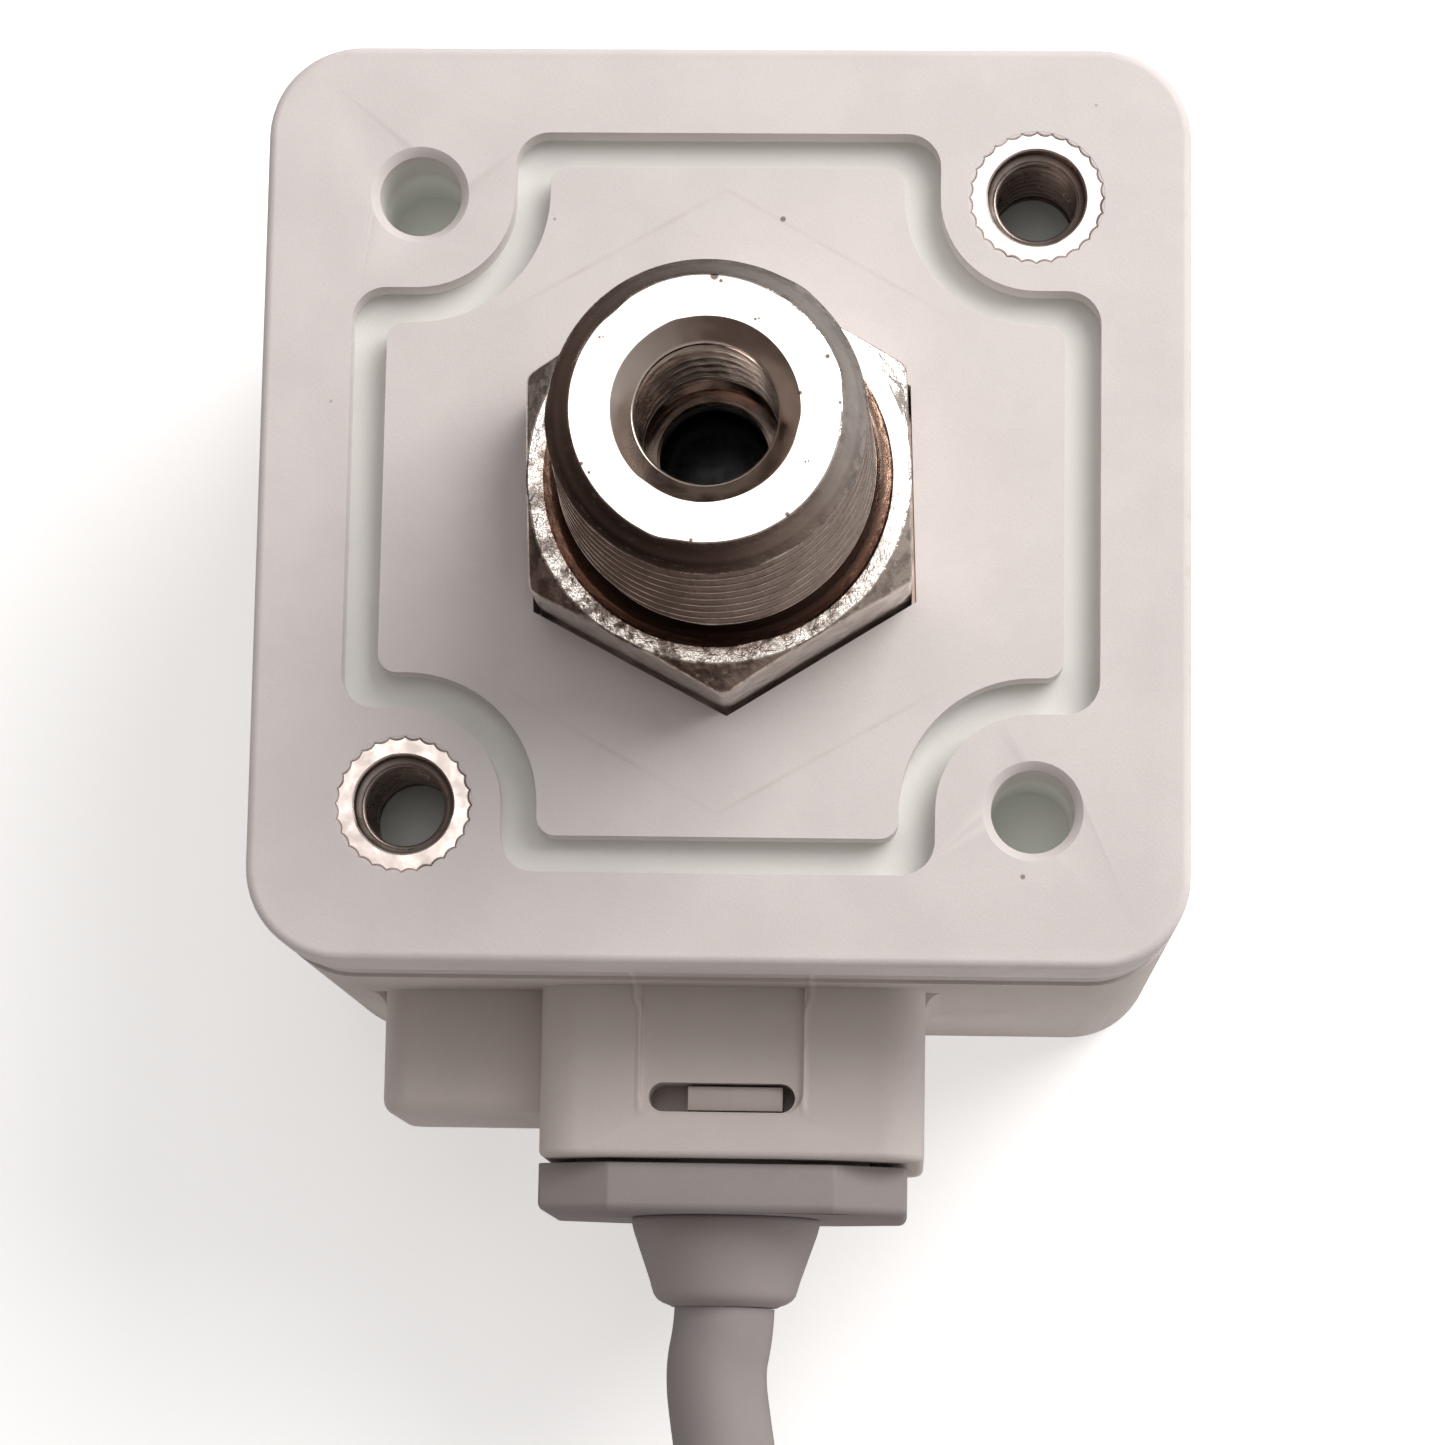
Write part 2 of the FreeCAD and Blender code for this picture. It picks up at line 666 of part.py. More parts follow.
def make_rear_cover():
    cover = plate(half, half, BODY_CORNER, cover_z, BODY_DEPTH)
    rear_edges = [e for e in cover.Edges if e.BoundBox.ZMin > BODY_DEPTH - 1e-6]
    cover = cover.makeFillet(EDGE_ROUND, rear_edges)
    groove_floor = BODY_DEPTH - GROOVE_DEPTH
    groove = cross(CROSS_REACH, CROSS_HALF_WIDTH, CROSS_CORNER, groove_floor, BODY_DEPTH)
    island = cross(
        CROSS_REACH - GROOVE_WIDTH,
        CROSS_HALF_WIDTH - GROOVE_WIDTH,
        ISLAND_CORNER,
        groove_floor,
        BODY_DEPTH,
    )
    spigot = square_ring(
        inner_half - BOARD_CLEARANCE / 2,
        SPIGOT_WIDTH,
        BODY_CORNER - WALL,
        cover_z - SPIGOT_HEIGHT,
        cover_z,
    )
    added = [spigot]
    for sx, sy in corners:
        boss_z = cover_z - BOSS_LENGTH
        boss = rod(BOSS_RADIUS, boss_z, cover_z, sx * mount_at, sy * mount_at)
        added.append(boss.cut(rod(FLANGE_RADIUS + FREE_CLEARANCE, boss_z, cover_z)))
    for x, y in clamp_points():
        added.append(rod(CLAMP_POST_RADIUS, flange_z, cover_z, x, y))
    cuts = [
        groove.cut(island),
        hexagon(HEX_ACROSS_FLATS + 2 * HEX_CLEARANCE, cover_z, BODY_DEPTH),
    ]
    for sx, sy in insert_corners.values():
        cuts.append(
            rod(
                INSERT_TIP_RADIUS + INSERT_CLEARANCE,
                BODY_DEPTH - INSERT_LENGTH,
                BODY_DEPTH,
                sx * mount_at,
                sy * mount_at,
            )
        )
    for sx, sy in hole_corners:
        place = V(sx * mount_at, sy * mount_at, 0)
        mouth = BODY_DEPTH - PILOT_CHAMFER
        cuts.append(rod(PILOT_RADIUS, BODY_DEPTH - PILOT_DEPTH, BODY_DEPTH, place.x, place.y))
        cuts.append(
            Part.makeCone(
                PILOT_RADIUS,
                PILOT_RADIUS + PILOT_CHAMFER,
                PILOT_CHAMFER,
                V(place.x, place.y, mouth),
            )
        )
    for x, y in clamp_points():
        top = flange_z + CLAMP_SCREW_BITE
        cuts.append(rod(CLAMP_SCREW_RADIUS, flange_z, top, x, y))
    return cover.multiFuse(added).cut(cuts).removeSplitter()


def make_insert(corner):
    sx, sy = corner
    z0 = BODY_DEPTH - INSERT_LENGTH
    points = []
    for k in range(2 * INSERT_TEETH):
        radius = INSERT_TIP_RADIUS if k % 2 else INSERT_ROOT_RADIUS
        angle = math.pi * k / INSERT_TEETH
        x = sx * mount_at + radius * math.cos(angle)
        y = sy * mount_at + radius * math.sin(angle)
        points.append(V(x, y, z0))
    knurled = prism(points, V(0, 0, INSERT_LENGTH))
    mouth = BODY_DEPTH - INSERT_MOUTH_DEPTH
    bore = rod(M3_TAPPING_RADIUS, z0, BODY_DEPTH, sx * mount_at, sy * mount_at)
    entry = rod(INSERT_MOUTH_RADIUS, mouth, BODY_DEPTH, sx * mount_at, sy * mount_at)
    return knurled.cut([bore, entry])


# ---------------------------------------------------------------- port and sensor
def chamfered_hexagon():
    """The fitting's hexagon, its top corners turned off at a shallow angle."""
    rise = HEX_HEIGHT / 2
    spread = rise / math.tan(math.radians(HEX_CHAMFER_ANGLE))
    inscribed = HEX_ACROSS_FLATS / 2
    turning = Part.makeCone(inscribed + spread, inscribed, rise, V(0, 0, hex_top_z - rise))
    below = rod(inscribed + spread, cover_z, hex_top_z - rise)
    return hexagon(HEX_ACROSS_FLATS, cover_z, hex_top_z).common(turning.fuse(below))


def make_port_fitting():
    thread_z = hex_top_z + RELIEF_WIDTH
    shoulder = R18_RADIUS - PORT_LAND_RADIUS
    ring_floor = hex_top_z - RING_GROOVE_DEPTH
    body = chamfered_hexagon().multiFuse(
        [
            rod(FLANGE_RADIUS, flange_z, cover_z),
            rod(STEM_RADIUS, stem_z, flange_z),
            rod(RELIEF_RADIUS, hex_top_z, thread_z),
            rod(R18_RADIUS, thread_z, port_end_z - shoulder),
            Part.makeCone(
                R18_RADIUS, PORT_LAND_RADIUS, shoulder, V(0, 0, port_end_z - shoulder)
            ),
        ]
    )
    mouth = M5_MOUTH_RADIUS - M5_TAPPING_RADIUS
    cuts = [
        tube(RING_GROOVE_RADIUS, RELIEF_RADIUS, ring_floor, hex_top_z),
        tube(
            SEAL_RADIUS + SEAL_GROOVE_HALF,
            SEAL_RADIUS - SEAL_GROOVE_HALF,
            cover_z - SEAL_GROOVE_DEPTH,
            cover_z,
        ),
        rod(M5_TAPPING_RADIUS, inlet_z, port_end_z),
        Part.makeCone(M5_TAPPING_RADIUS, M5_MOUTH_RADIUS, mouth, V(0, 0, port_end_z - mouth)),
        rod(INLET_RADIUS, capsule_roof, inlet_z),
        rod(CAPSULE_RADIUS + RUN_CLEARANCE, stem_z, capsule_roof),
    ]
    return body.cut(cuts).removeSplitter()


def make_port_seal():
    return Part.makeTorus(SEAL_RADIUS, SEAL_SECTION, V(0, 0, cover_z - SEAL_SECTION))


def make_sensor_capsule():
    """The capsule's can, with a well for the gel in its top and lead holes in its floor."""
    can = rod(CAPSULE_RADIUS, capsule_z, capsule_top)
    well = rod(GEL_RADIUS, capsule_top - GEL_DEPTH, capsule_top)
    top = capsule_z + LEAD_BITE
    holes = [rod(LEAD_RADIUS, capsule_z, top, x, y) for x, y in lead_points()]
    return can.cut([well] + holes)


def make_sensor_gel():
    fill = rod(GEL_RADIUS, capsule_top - GEL_DEPTH, capsule_top - GEL_DOME)
    ball = (GEL_RADIUS**2 + GEL_DOME**2) / (2 * GEL_DOME)
    dome = Part.makeSphere(ball, V(0, 0, capsule_top - ball))
    rim = rod(GEL_RADIUS, capsule_top - GEL_DOME, capsule_top)
    return fill.fuse(dome.common(rim)).removeSplitter()


def make_capsule_seal():
    height = capsule_top + CAPSULE_SEAL_SECTION
    return Part.makeTorus(CAPSULE_SEAL_RADIUS, CAPSULE_SEAL_SECTION, V(0, 0, height))


def make_capsule_ring():
    return tube(CAPSULE_RADIUS, RETAINER_RING_BORE, ring_z, capsule_z)


def lead_points():
    return [
        (LEAD_CIRCLE * math.cos(math.pi / 2 * k), LEAD_CIRCLE * math.sin(math.pi / 2 * k))
        for k in range(4)
    ]


def make_sensor_leads():
    tail = sensor_board_z - SOLDER_TAIL
    top = capsule_z + LEAD_BITE
    return group([rod(LEAD_RADIUS, tail, top, x, y) for x, y in lead_points()])


def clamp_points():
    sides = [(1, 0), (0, 1), (-1, 0), (0, -1)]
    return [(sx * CLAMP_SCREW_AT, sy * CLAMP_SCREW_AT) for sx, sy in sides]


def make_clamp_plate():
    arm, wide = CLAMP_ARM, CLAMP_HALF_WIDTH
    bar_x = box(-arm, arm, -wide, wide, clamp_z, flange_z)
    bar_y = box(-wide, wide, -arm, arm, clamp_z, flange_z)
    cuts = [rod(STEM_RADIUS + SCREW_CLEARANCE, clamp_z, flange_z)]
    for x, y in clamp_points():
        cuts.append(rod(CLAMP_SCREW_RADIUS + SCREW_CLEARANCE, clamp_z, flange_z, x, y))
    return bar_x.fuse(bar_y).cut(cuts).removeSplitter()


def screw_slot(x, y, z0):
    """The driver slot in a screw head, from its lower side up."""
    reach, wide = SCREW_SLOT_REACH, SCREW_SLOT_HALF
    return box(x - reach, x + reach, y - wide, y + wide, z0, z0 + SCREW_SLOT_DEPTH)


def make_clamp_screws():
    screws = []
    head_z = clamp_z - CLAMP_SCREW_HEAD
    tip = flange_z + CLAMP_SCREW_BITE - SEAT_CLEARANCE
    for x, y in clamp_points():
        head = rod(CLAMP_SCREW_HEAD_RADIUS, head_z, clamp_z, x, y)
        shank = rod(CLAMP_SCREW_RADIUS, clamp_z, tip, x, y)
        screws.append(head.cut(screw_slot(x, y, head_z)).fuse(shank))
    return group(screws)


# ---------------------------------------------------------------- boards
def board_points():
    return [(sx * board_screw_at, sy * board_screw_at) for sx, sy in corners]


def make_display_board():
    reach = inner_half - BOARD_CLEARANCE
    board = plate(reach, reach, BODY_CORNER - WALL, DISPLAY_BOARD_Z, display_board_top)
    cuts = [
        rod(BOARD_SCREW_RADIUS + SCREW_CLEARANCE, DISPLAY_BOARD_Z, display_board_top, x, y)
        for x, y in board_points()
    ]
    for x in header_x:
        cuts.append(
            rod(PIN_SIDE / 2 + PIN_CLEARANCE, DISPLAY_BOARD_Z, display_board_top, x, HEADER_AT_Y)
        )
    return board.cut(cuts)


def make_sensor_board():
    reach = inner_half - CARRIER_FLANGE_THICKNESS - BOARD_CLEARANCE
    board = plate(
        board_screw_at + STANDOFF_RADIUS,
        reach,
        SENSOR_BOARD_CORNER,
        sensor_board_z,
        sensor_board_top,
    )
    cuts = [
        rod(BOARD_SCREW_RADIUS + SCREW_CLEARANCE, sensor_board_z, sensor_board_top, x, y)
        for x, y in board_points()
    ]
    for x in header_x:
        cuts.append(
            rod(PIN_SIDE / 2 + PIN_CLEARANCE, sensor_board_z, sensor_board_top, x, HEADER_AT_Y)
        )
    for x, y in lead_points():
        cuts.append(rod(LEAD_RADIUS + PIN_CLEARANCE, sensor_board_z, sensor_board_top, x, y))
    for x in pin_x:
        y = pin_tail_y
        side = PIN_SIDE / 2 + PIN_CLEARANCE
        cuts.append(box(x - side, x + side, y - side, y + side, sensor_board_z, sensor_board_top))
    return board.cut(cuts)


def make_board_standoffs():
    return group(
        [
            tube(
                STANDOFF_RADIUS,
                BOARD_SCREW_RADIUS + SCREW_CLEARANCE,
                display_board_top,
                sensor_board_z,
                x,
                y,
            )
            for x, y in board_points()
        ]
    )


def make_board_screws():
    screws = []
    tip = FRONT_WALL + PILLAR_FLOOR + BOARD_SCREW_TIP_GAP
    top = sensor_board_top + BOARD_SCREW_HEAD
    for x, y in board_points():
        shank = rod(BOARD_SCREW_RADIUS, tip, sensor_board_top, x, y)
        head = rod(BOARD_SCREW_HEAD_RADIUS, sensor_board_top, top, x, y)
        screws.append(shank.fuse(head.cut(screw_slot(x, y, top - SCREW_SLOT_DEPTH))))
    return group(screws)


def make_board_header():
    reach = HEADER_PINS * HEADER_PITCH / 2
    top = display_board_top + HEADER_BODY_HEIGHT
    block = chip(0, HEADER_AT_Y, reach, HEADER_HALF_DEPTH, display_board_top, top)
    return block.cut(
        [rod(PIN_SIDE / 2, display_board_top, top, x, HEADER_AT_Y) for x in header_x]
    )


def make_header_pins():
    low = DISPLAY_BOARD_Z + HEADER_PIN_SETBACK
    high = sensor_board_top + SOLDER_TAIL
    return group([rod(PIN_SIDE / 2, low, high, x, HEADER_AT_Y) for x in header_x])


def make_microcontroller():
    """A square package on the display board with a row of leads on each side."""
    half_side, lead = CONTROLLER_HALF, CONTROLLER_LEAD
    low, middle = display_board_top, CONTROLLER_AT_Y
    top = low + CONTROLLER_HEIGHT
    foot = low + CONTROLLER_LEAD_THICKNESS
    solids = [chip(0, middle, half_side, half_side, low + CHIP_STAND, top)]
    for side in (-1, 1):
        out = side * (half_side + lead)
        for k in range(CONTROLLER_LEADS):
            along = (k - (CONTROLLER_LEADS - 1) / 2) * CONTROLLER_LEAD_PITCH
            solids.append(chip(out, middle + along, lead, lead / 2, low, foot))
            solids.append(chip(along, middle + out, lead / 2, lead, low, foot))
    return group(solids)


def make_amplifier_chip():
    """A small package under the sensor board, with a row of legs on two sides."""
    x, y = AMPLIFIER_AT
    low = sensor_board_z - AMPLIFIER_HEIGHT
    leg_z = sensor_board_z - AMPLIFIER_LEG_HEIGHT
    solids = [chip(x, y, *AMPLIFIER_HALF, low, sensor_board_z - CHIP_STAND)]
    for side in (-1, 1):
        for k in range(AMPLIFIER_LEGS):
            leg_x = x + (k - (AMPLIFIER_LEGS - 1) / 2) * AMPLIFIER_LEG_PITCH
            leg_y = y + side * AMPLIFIER_LEG_AT
            solids.append(chip(leg_x, leg_y, *AMPLIFIER_LEG_HALF, leg_z, sensor_board_z))
    return group(solids)


def make_output_transistors():
    low = sensor_board_z - TRANSISTOR_HEIGHT
    return group([chip(x, y, *TRANSISTOR_HALF, low, sensor_board_z) for x, y in TRANSISTOR_AT])


def make_capacitors():
    solids = []
    for x, y in SMALL_CAPACITOR_AT:
        low = sensor_board_z - SMALL_CAPACITOR_HEIGHT
        solids.append(chip(x, y, *SMALL_CAPACITOR_HALF, low, sensor_board_z))
    for x, y in LARGE_CAPACITOR_AT:
        high = display_board_top + LARGE_CAPACITOR_HEIGHT
        solids.append(chip(x, y, *LARGE_CAPACITOR_HALF, display_board_top, high))
    return group(solids)


# ---------------------------------------------------------------- display and keys
def make_display_window():
    face = plate(
        WINDOW_HALF_WIDTH, WINDOW_HALF_HEIGHT, KEY_ROUND, WINDOW_SUNK, window_inner, 0, WINDOW_AT_Y
    )
    ledge = plate(
        WINDOW_HALF_WIDTH + WINDOW_LEDGE,
        WINDOW_HALF_HEIGHT + WINDOW_LEDGE,
        KEY_ROUND,
        window_inner,
        FRONT_WALL,
        0,
        WINDOW_AT_Y,
    )
    return face.fuse(ledge).removeSplitter()


def make_display_glass():
    return chip(
        0,
        WINDOW_AT_Y,
        WINDOW_HALF_WIDTH - GLASS_INSET,
        WINDOW_HALF_HEIGHT - GLASS_INSET,
        glass_z,
        glass_z + GLASS_THICKNESS,
    )


def make_display_backlight():
    return plate(
        BACKLIGHT_HALF_WIDTH,
        BACKLIGHT_HALF_HEIGHT,
        BACKLIGHT_CORNER,
        glass_z + GLASS_THICKNESS,
        DISPLAY_BOARD_Z,
        0,
        WINDOW_AT_Y,
    )


def make_display_digits():
    """Seven bars for each digit, printed on the front of the glass."""
    solids = []
    z0, z1 = glass_z - DIGIT_RAISED, glass_z
    across = DIGIT_WIDTH / 2 - DIGIT_STROKE
    up = DIGIT_HEIGHT / 4
    for k in range(DIGIT_COUNT):
        x = (k - (DIGIT_COUNT - 1) / 2) * DIGIT_PITCH
        for level in (-2 * up, 0, 2 * up):
            solids.append(chip(x, WINDOW_AT_Y + level, across, DIGIT_STROKE / 2, z0, z1))
        for side in (-1, 1):
            for level in (-up, up):
                solids.append(
                    chip(
                        x + side * (DIGIT_WIDTH - DIGIT_STROKE) / 2,
                        WINDOW_AT_Y + level,
                        DIGIT_STROKE / 2,
                        up - DIGIT_STROKE * 0.8,
                        z0,
                        z1,
                    )
                )
    return group(solids)


def make_key(x):
    cap = plate(KEY_HALF_WIDTH, KEY_HALF_HEIGHT, KEY_ROUND, KEY_SUNK, key_flange_z, x, KEY_AT_Y)
    outer = [e for e in cap.Edges if e.BoundBox.ZMax < KEY_SUNK + 1e-6]
    cap = cap.makeFillet(EDGE_ROUND, outer)
    flange = plate(
        KEY_HALF_WIDTH + KEY_FLANGE,
        KEY_HALF_HEIGHT + KEY_FLANGE,
        KEY_ROUND,
        key_flange_z,
        key_flange_z + KEY_FLANGE_THICKNESS,
        x,
        KEY_AT_Y,
    )
    stem = rod(KEY_STEM_RADIUS, key_flange_z + KEY_FLANGE_THICKNESS, plunger_z, x, KEY_AT_Y)
    return cap.multiFuse([flange, stem]).removeSplitter()


def make_plunger(x):
    return rod(PLUNGER_RADIUS, plunger_z, plunger_end, x, KEY_AT_Y)


def make_switch_bodies():
    bodies = []
    for x in key_x.values():
        body = chip(x, KEY_AT_Y, SWITCH_HALF, SWITCH_HALF, switch_z, DISPLAY_BOARD_Z)
        neck = rod(PLUNGER_RADIUS + RUN_CLEARANCE, switch_z, switch_floor, x, KEY_AT_Y)
        well = rod(DOME_RADIUS + SEAT_CLEARANCE, switch_z + SWITCH_ROOF, switch_floor, x, KEY_AT_Y)
        bodies.append(body.cut([neck, well]))
    return group(bodies)


def make_switch_domes():
    """The sprung metal discs: thin caps that bulge towards the keys."""
    domes = []
    ball = (DOME_RADIUS**2 + DOME_RISE**2) / (2 * DOME_RISE)
    for x in key_x.values():
        centre = V(x, KEY_AT_Y, switch_floor - DOME_RISE + ball)
        shell = Part.makeSphere(ball + DOME_THICKNESS, centre).cut(Part.makeSphere(ball, centre))
        keep = rod(DOME_RADIUS, switch_z + SWITCH_ROOF, switch_floor, x, KEY_AT_Y)
        domes.append(shell.common(keep))
    return group(domes)


def make_led_lenses():
    top = DISPLAY_BOARD_Z - LED_HEIGHT - SEAT_CLEARANCE
    sides = (-LENS_AT_X, LENS_AT_X)
    return group([rod(LENS_RADIUS, WINDOW_SUNK, top, x, LENS_AT_Y) for x in sides])


def make_indicator_leds():
    low = DISPLAY_BOARD_Z - LED_HEIGHT
    wide, high = LED_HALF_WIDTH, LED_HALF_HEIGHT
    sides = (-LENS_AT_X, LENS_AT_X)
    return group([chip(x, LENS_AT_Y, wide, high, low, DISPLAY_BOARD_Z) for x in sides])


# ---------------------------------------------------------------- socket and plug
def make_pin_carrier():
    block = box(
        -CARRIER_HALF_WIDTH,
        CARRIER_HALF_WIDTH,
        cavity_back_y,
        -inner_half,
        mid_z - CARRIER_HALF_HEIGHT,
        mid_z + CARRIER_HALF_HEIGHT,
    )
    flange = box(
        -CARRIER_HALF_WIDTH - CARRIER_FLANGE,
        CARRIER_HALF_WIDTH + CARRIER_FLANGE,
        -inner_half,
        -inner_half + CARRIER_FLANGE_THICKNESS,
        mid_z - CARRIER_HALF_HEIGHT - CARRIER_FLANGE,
        mid_z + CARRIER_HALF_HEIGHT + CARRIER_FLANGE,
    )
    side = PIN_SIDE / 2
    holes = [box(x - side, x + side, socket_end, 0, mid_z - side, mid_z + side) for x in pin_x]
    return block.fuse(flange).cut(holes).removeSplitter()


def make_socket_pins():
    """Square pins that point out of the socket and turn up through the sensor board."""
    pins = []
    side = PIN_SIDE / 2
    tip = cavity_back_y - PIN_REACH + CAVITY_BACK
    for x in pin_x:
        out = box(x - side, x + side, tip, pin_tail_y + side, mid_z - side, mid_z + side)
        up = box(
            x - side,
            x + side,
            pin_tail_y - side,
            pin_tail_y + side,
            mid_z - side,
            sensor_board_top + SOLDER_TAIL,
        )
        pins.append(out.fuse(up).removeSplitter())
    return group(pins)


def plug_flange():
    wide, high = PLUG_FLANGE_HALF_WIDTH, PLUG_FLANGE_HALF_HEIGHT
    near_x, near_z = wide - PLUG_FLANGE_CUT_WIDE, high - PLUG_FLANGE_CUT_HIGH
    outline = [
        (near_x, high),
        (wide, near_z),
        (wide, -near_z),
        (near_x, -high),
        (-near_x, -high),
        (-wide, -near_z),
        (-wide, near_z),
        (-near_x, high),
    ]
    points = [V(x, plug_back, mid_z + z) for x, z in outline]
    flange = prism(points, V(0, PLUG_FLANGE_THICKNESS, 0))
    back = [e for e in flange.Edges if e.BoundBox.YMax < plug_back + 1e-6]
    return flange.makeFillet(EDGE_ROUND, back + edges_along(flange, V(0, 1, 0)))


def make_plug_body():
    nose = box(
        -nose_half_width,
        nose_half_width,
        plug_face,
        nose_tip,
        mid_z - nose_half_height,
        nose_top,
    )
    contact_cut = CONTACT_SIDE / 2 + SEAT_CLEARANCE
    cuts = [
        box(
            x - contact_cut,
            x + contact_cut,
            nose_tip - CONTACT_LENGTH - SEAT_CLEARANCE,
            nose_tip,
            mid_z - contact_cut,
            mid_z + contact_cut,
        )
        for x in pin_x
    ]
    cuts.append(
        box(
            -LATCH_HALF_WIDTH - FREE_CLEARANCE,
            LATCH_HALF_WIDTH + FREE_CLEARANCE,
            latch_y - LATCH_ARM_LENGTH - FREE_CLEARANCE,
            nose_tip,
            mid_z + LATCH_FLOOR,
            nose_top,
        )
    )
    pin_half = LATCH_HALF_WIDTH + FREE_CLEARANCE
    pivot = rod_x(LATCH_PIN_RADIUS, -pin_half, pin_half, latch_y, latch_z)
    return nose.fuse(plug_flange()).cut(cuts).fuse(pivot).removeSplitter()


def make_plug_contacts():
    contacts = []
    outer = CONTACT_SIDE / 2
    inner = PIN_SIDE / 2 + PIN_CLEARANCE
    back = nose_tip - CONTACT_LENGTH
    for x in pin_x:
        sleeve = box(x - outer, x + outer, back, nose_tip, mid_z - outer, mid_z + outer)
        bore = box(x - inner, x + inner, back, nose_tip, mid_z - inner, mid_z + inner)
        contacts.append(sleeve.cut(bore))
    return group(contacts)


def make_latch_lever():
    barrel = rod_x(LATCH_BARREL_RADIUS, -LATCH_HALF_WIDTH, LATCH_HALF_WIDTH, latch_y, latch_z)
    arm = box(
        -LATCH_HALF_WIDTH,
        LATCH_HALF_WIDTH,
        latch_y - LATCH_ARM_LENGTH,
        latch_y,
        latch_z,
        latch_z + LATCH_ARM_THICKNESS,
    )
    hook = box(
        HOOK_LEFT,
        HOOK_RIGHT,
        slot_y - HOOK_THICKNESS / 2,
        slot_y + HOOK_THICKNESS / 2,
        latch_z,
        hook_top,
    )
    bore = rod_x(
        LATCH_PIN_RADIUS + RUN_CLEARANCE, -LATCH_HALF_WIDTH, LATCH_HALF_WIDTH, latch_y, latch_z
    )
    return barrel.multiFuse([arm, hook]).cut(bore).removeSplitter()


def make_cable_boot():
    """A tapered sleeve that is slightly hollow halfway and rounded at its end."""
    waist = (BOOT_BASE_RADIUS + BOOT_END_RADIUS) / 2 - BOOT_HOLLOW
    profile = [
        (0, plug_back),
        (BOOT_BASE_RADIUS, plug_back),
        (waist, plug_back - BOOT_LENGTH / 2),
        (BOOT_END_RADIUS, boot_end + BOOT_END_ROUND),
        (BOOT_END_RADIUS - BOOT_END_ROUND, boot_end),
        (0, boot_end),
    ]
    points = [V(r, y, mid_z) for r, y in profile]
    outline = Part.makePolygon(points + points[:1])
    return Part.Face(outline).revolve(V(0, 0, mid_z), V(0, 1, 0), 360)


# ---------------------------------------------------------------- lead
def lead_path(route):
    """Straight runs joined by tangent arcs, and the radii of those arcs."""
    points = [V(*p) for p in route]
    edges, radii = [], []
    start = points[0]
    for before, here, after in zip(points, points[1:], points[2:]):
        back, ahead = before - here, after - here
        short = min(back.Length, ahead.Length)
        back.normalize()
        ahead.normalize()
        turn = math.pi - back.getAngle(ahead)
        radius = BEND_SHARE * short / math.tan(turn / 2)
        reach = radius * math.tan(turn / 2)
        inward = (back + ahead).normalize()
        centre = here + inward * (radius / math.cos(turn / 2))
        a, b = here + back * reach, here + ahead * reach
        edges.append(line(start, a))
        edges.append(arc(a, centre - inward * radius, b))
        radii.append(radius)
        start = b
    edges.append(line(start, points[-1]))
    return Part.Wire(edges), radii


def make_cable_tube():
    path, radii = lead_path(CABLE_ROUTE)
    start = path.Edges[0]
    heading = start.tangentAt(start.FirstParameter)
    circle = Part.makeCircle(CABLE_RADIUS, V(*CABLE_ROUTE[0]), heading)
    solid = path.makePipeShell([Part.Wire(circle)], True, True)
    swept = math.pi * CABLE_RADIUS**2 * path.Length
    print("lead radii", [round(r, 1) for r in radii])
    print("lead tube length %.1f, volume ratio %.4f" % (path.Length, solid.Volume / swept))
    return solid


def make_cable_hank():
    """The outer shape of the wound lead, with a trough where the bare cores lie in its top."""
    outside = racetrack(hank_outer + CABLE_RADIUS, HANK_LIFT, hank_top)
    inside = racetrack(HANK_INNER - CABLE_RADIUS, HANK_LIFT, hank_top)
    trough = box(
        -HANK_INNER - CABLE_RADIUS,
        -HANK_INNER + CABLE_RADIUS,
        core_end_y - TINNED_LENGTH - CABLE_RADIUS,
        jacket_end_y,
        top_lane_z - CABLE_RADIUS,
        hank_top,
    )
    return outside.cut([inside, trough])


def make_cable_ties():
    """A flat strap round each straight bundle of the hank."""
    y = HANK_NEAR_Y - TIE_AT
    straps = []
    for side in (-1, 1):
        near = HANK_INNER - CABLE_RADIUS - SEAT_CLEARANCE
        far = hank_outer + CABLE_RADIUS + SEAT_CLEARANCE
        low, high = sorted((side * near, side * far))
        strap = box(
            low - TIE_THICKNESS,
            high + TIE_THICKNESS,
            y - TIE_WIDTH / 2,
            y + TIE_WIDTH / 2,
            HANK_LIFT - TIE_THICKNESS,
            hank_top + SEAT_CLEARANCE + TIE_THICKNESS,
        )
        roof = hank_top + SEAT_CLEARANCE
        hole = box(low, high, y - TIE_WIDTH, y + TIE_WIDTH, HANK_LIFT, roof)
        straps.append(strap.cut(hole))
    return group(straps)


def core_centres():
    side = CORE_RADIUS + CORE_GAP
    lane = -HANK_INNER
    return {
        "brown": V(lane - side, 0, top_lane_z - side),
        "blue": V(lane + side, 0, top_lane_z - side),
        "black": V(lane - side, 0, top_lane_z + side),
        "white": V(lane + side, 0, top_lane_z + side),
    }


def make_core(centre):
    return rod_y(CORE_RADIUS, core_end_y, jacket_end_y, centre.x, centre.z)


def make_tinned_ends():
    start = core_end_y - TINNED_LENGTH
    return group(
        [rod_y(TINNED_RADIUS, start, core_end_y, c.x, c.z) for c in core_centres().values()]
    )


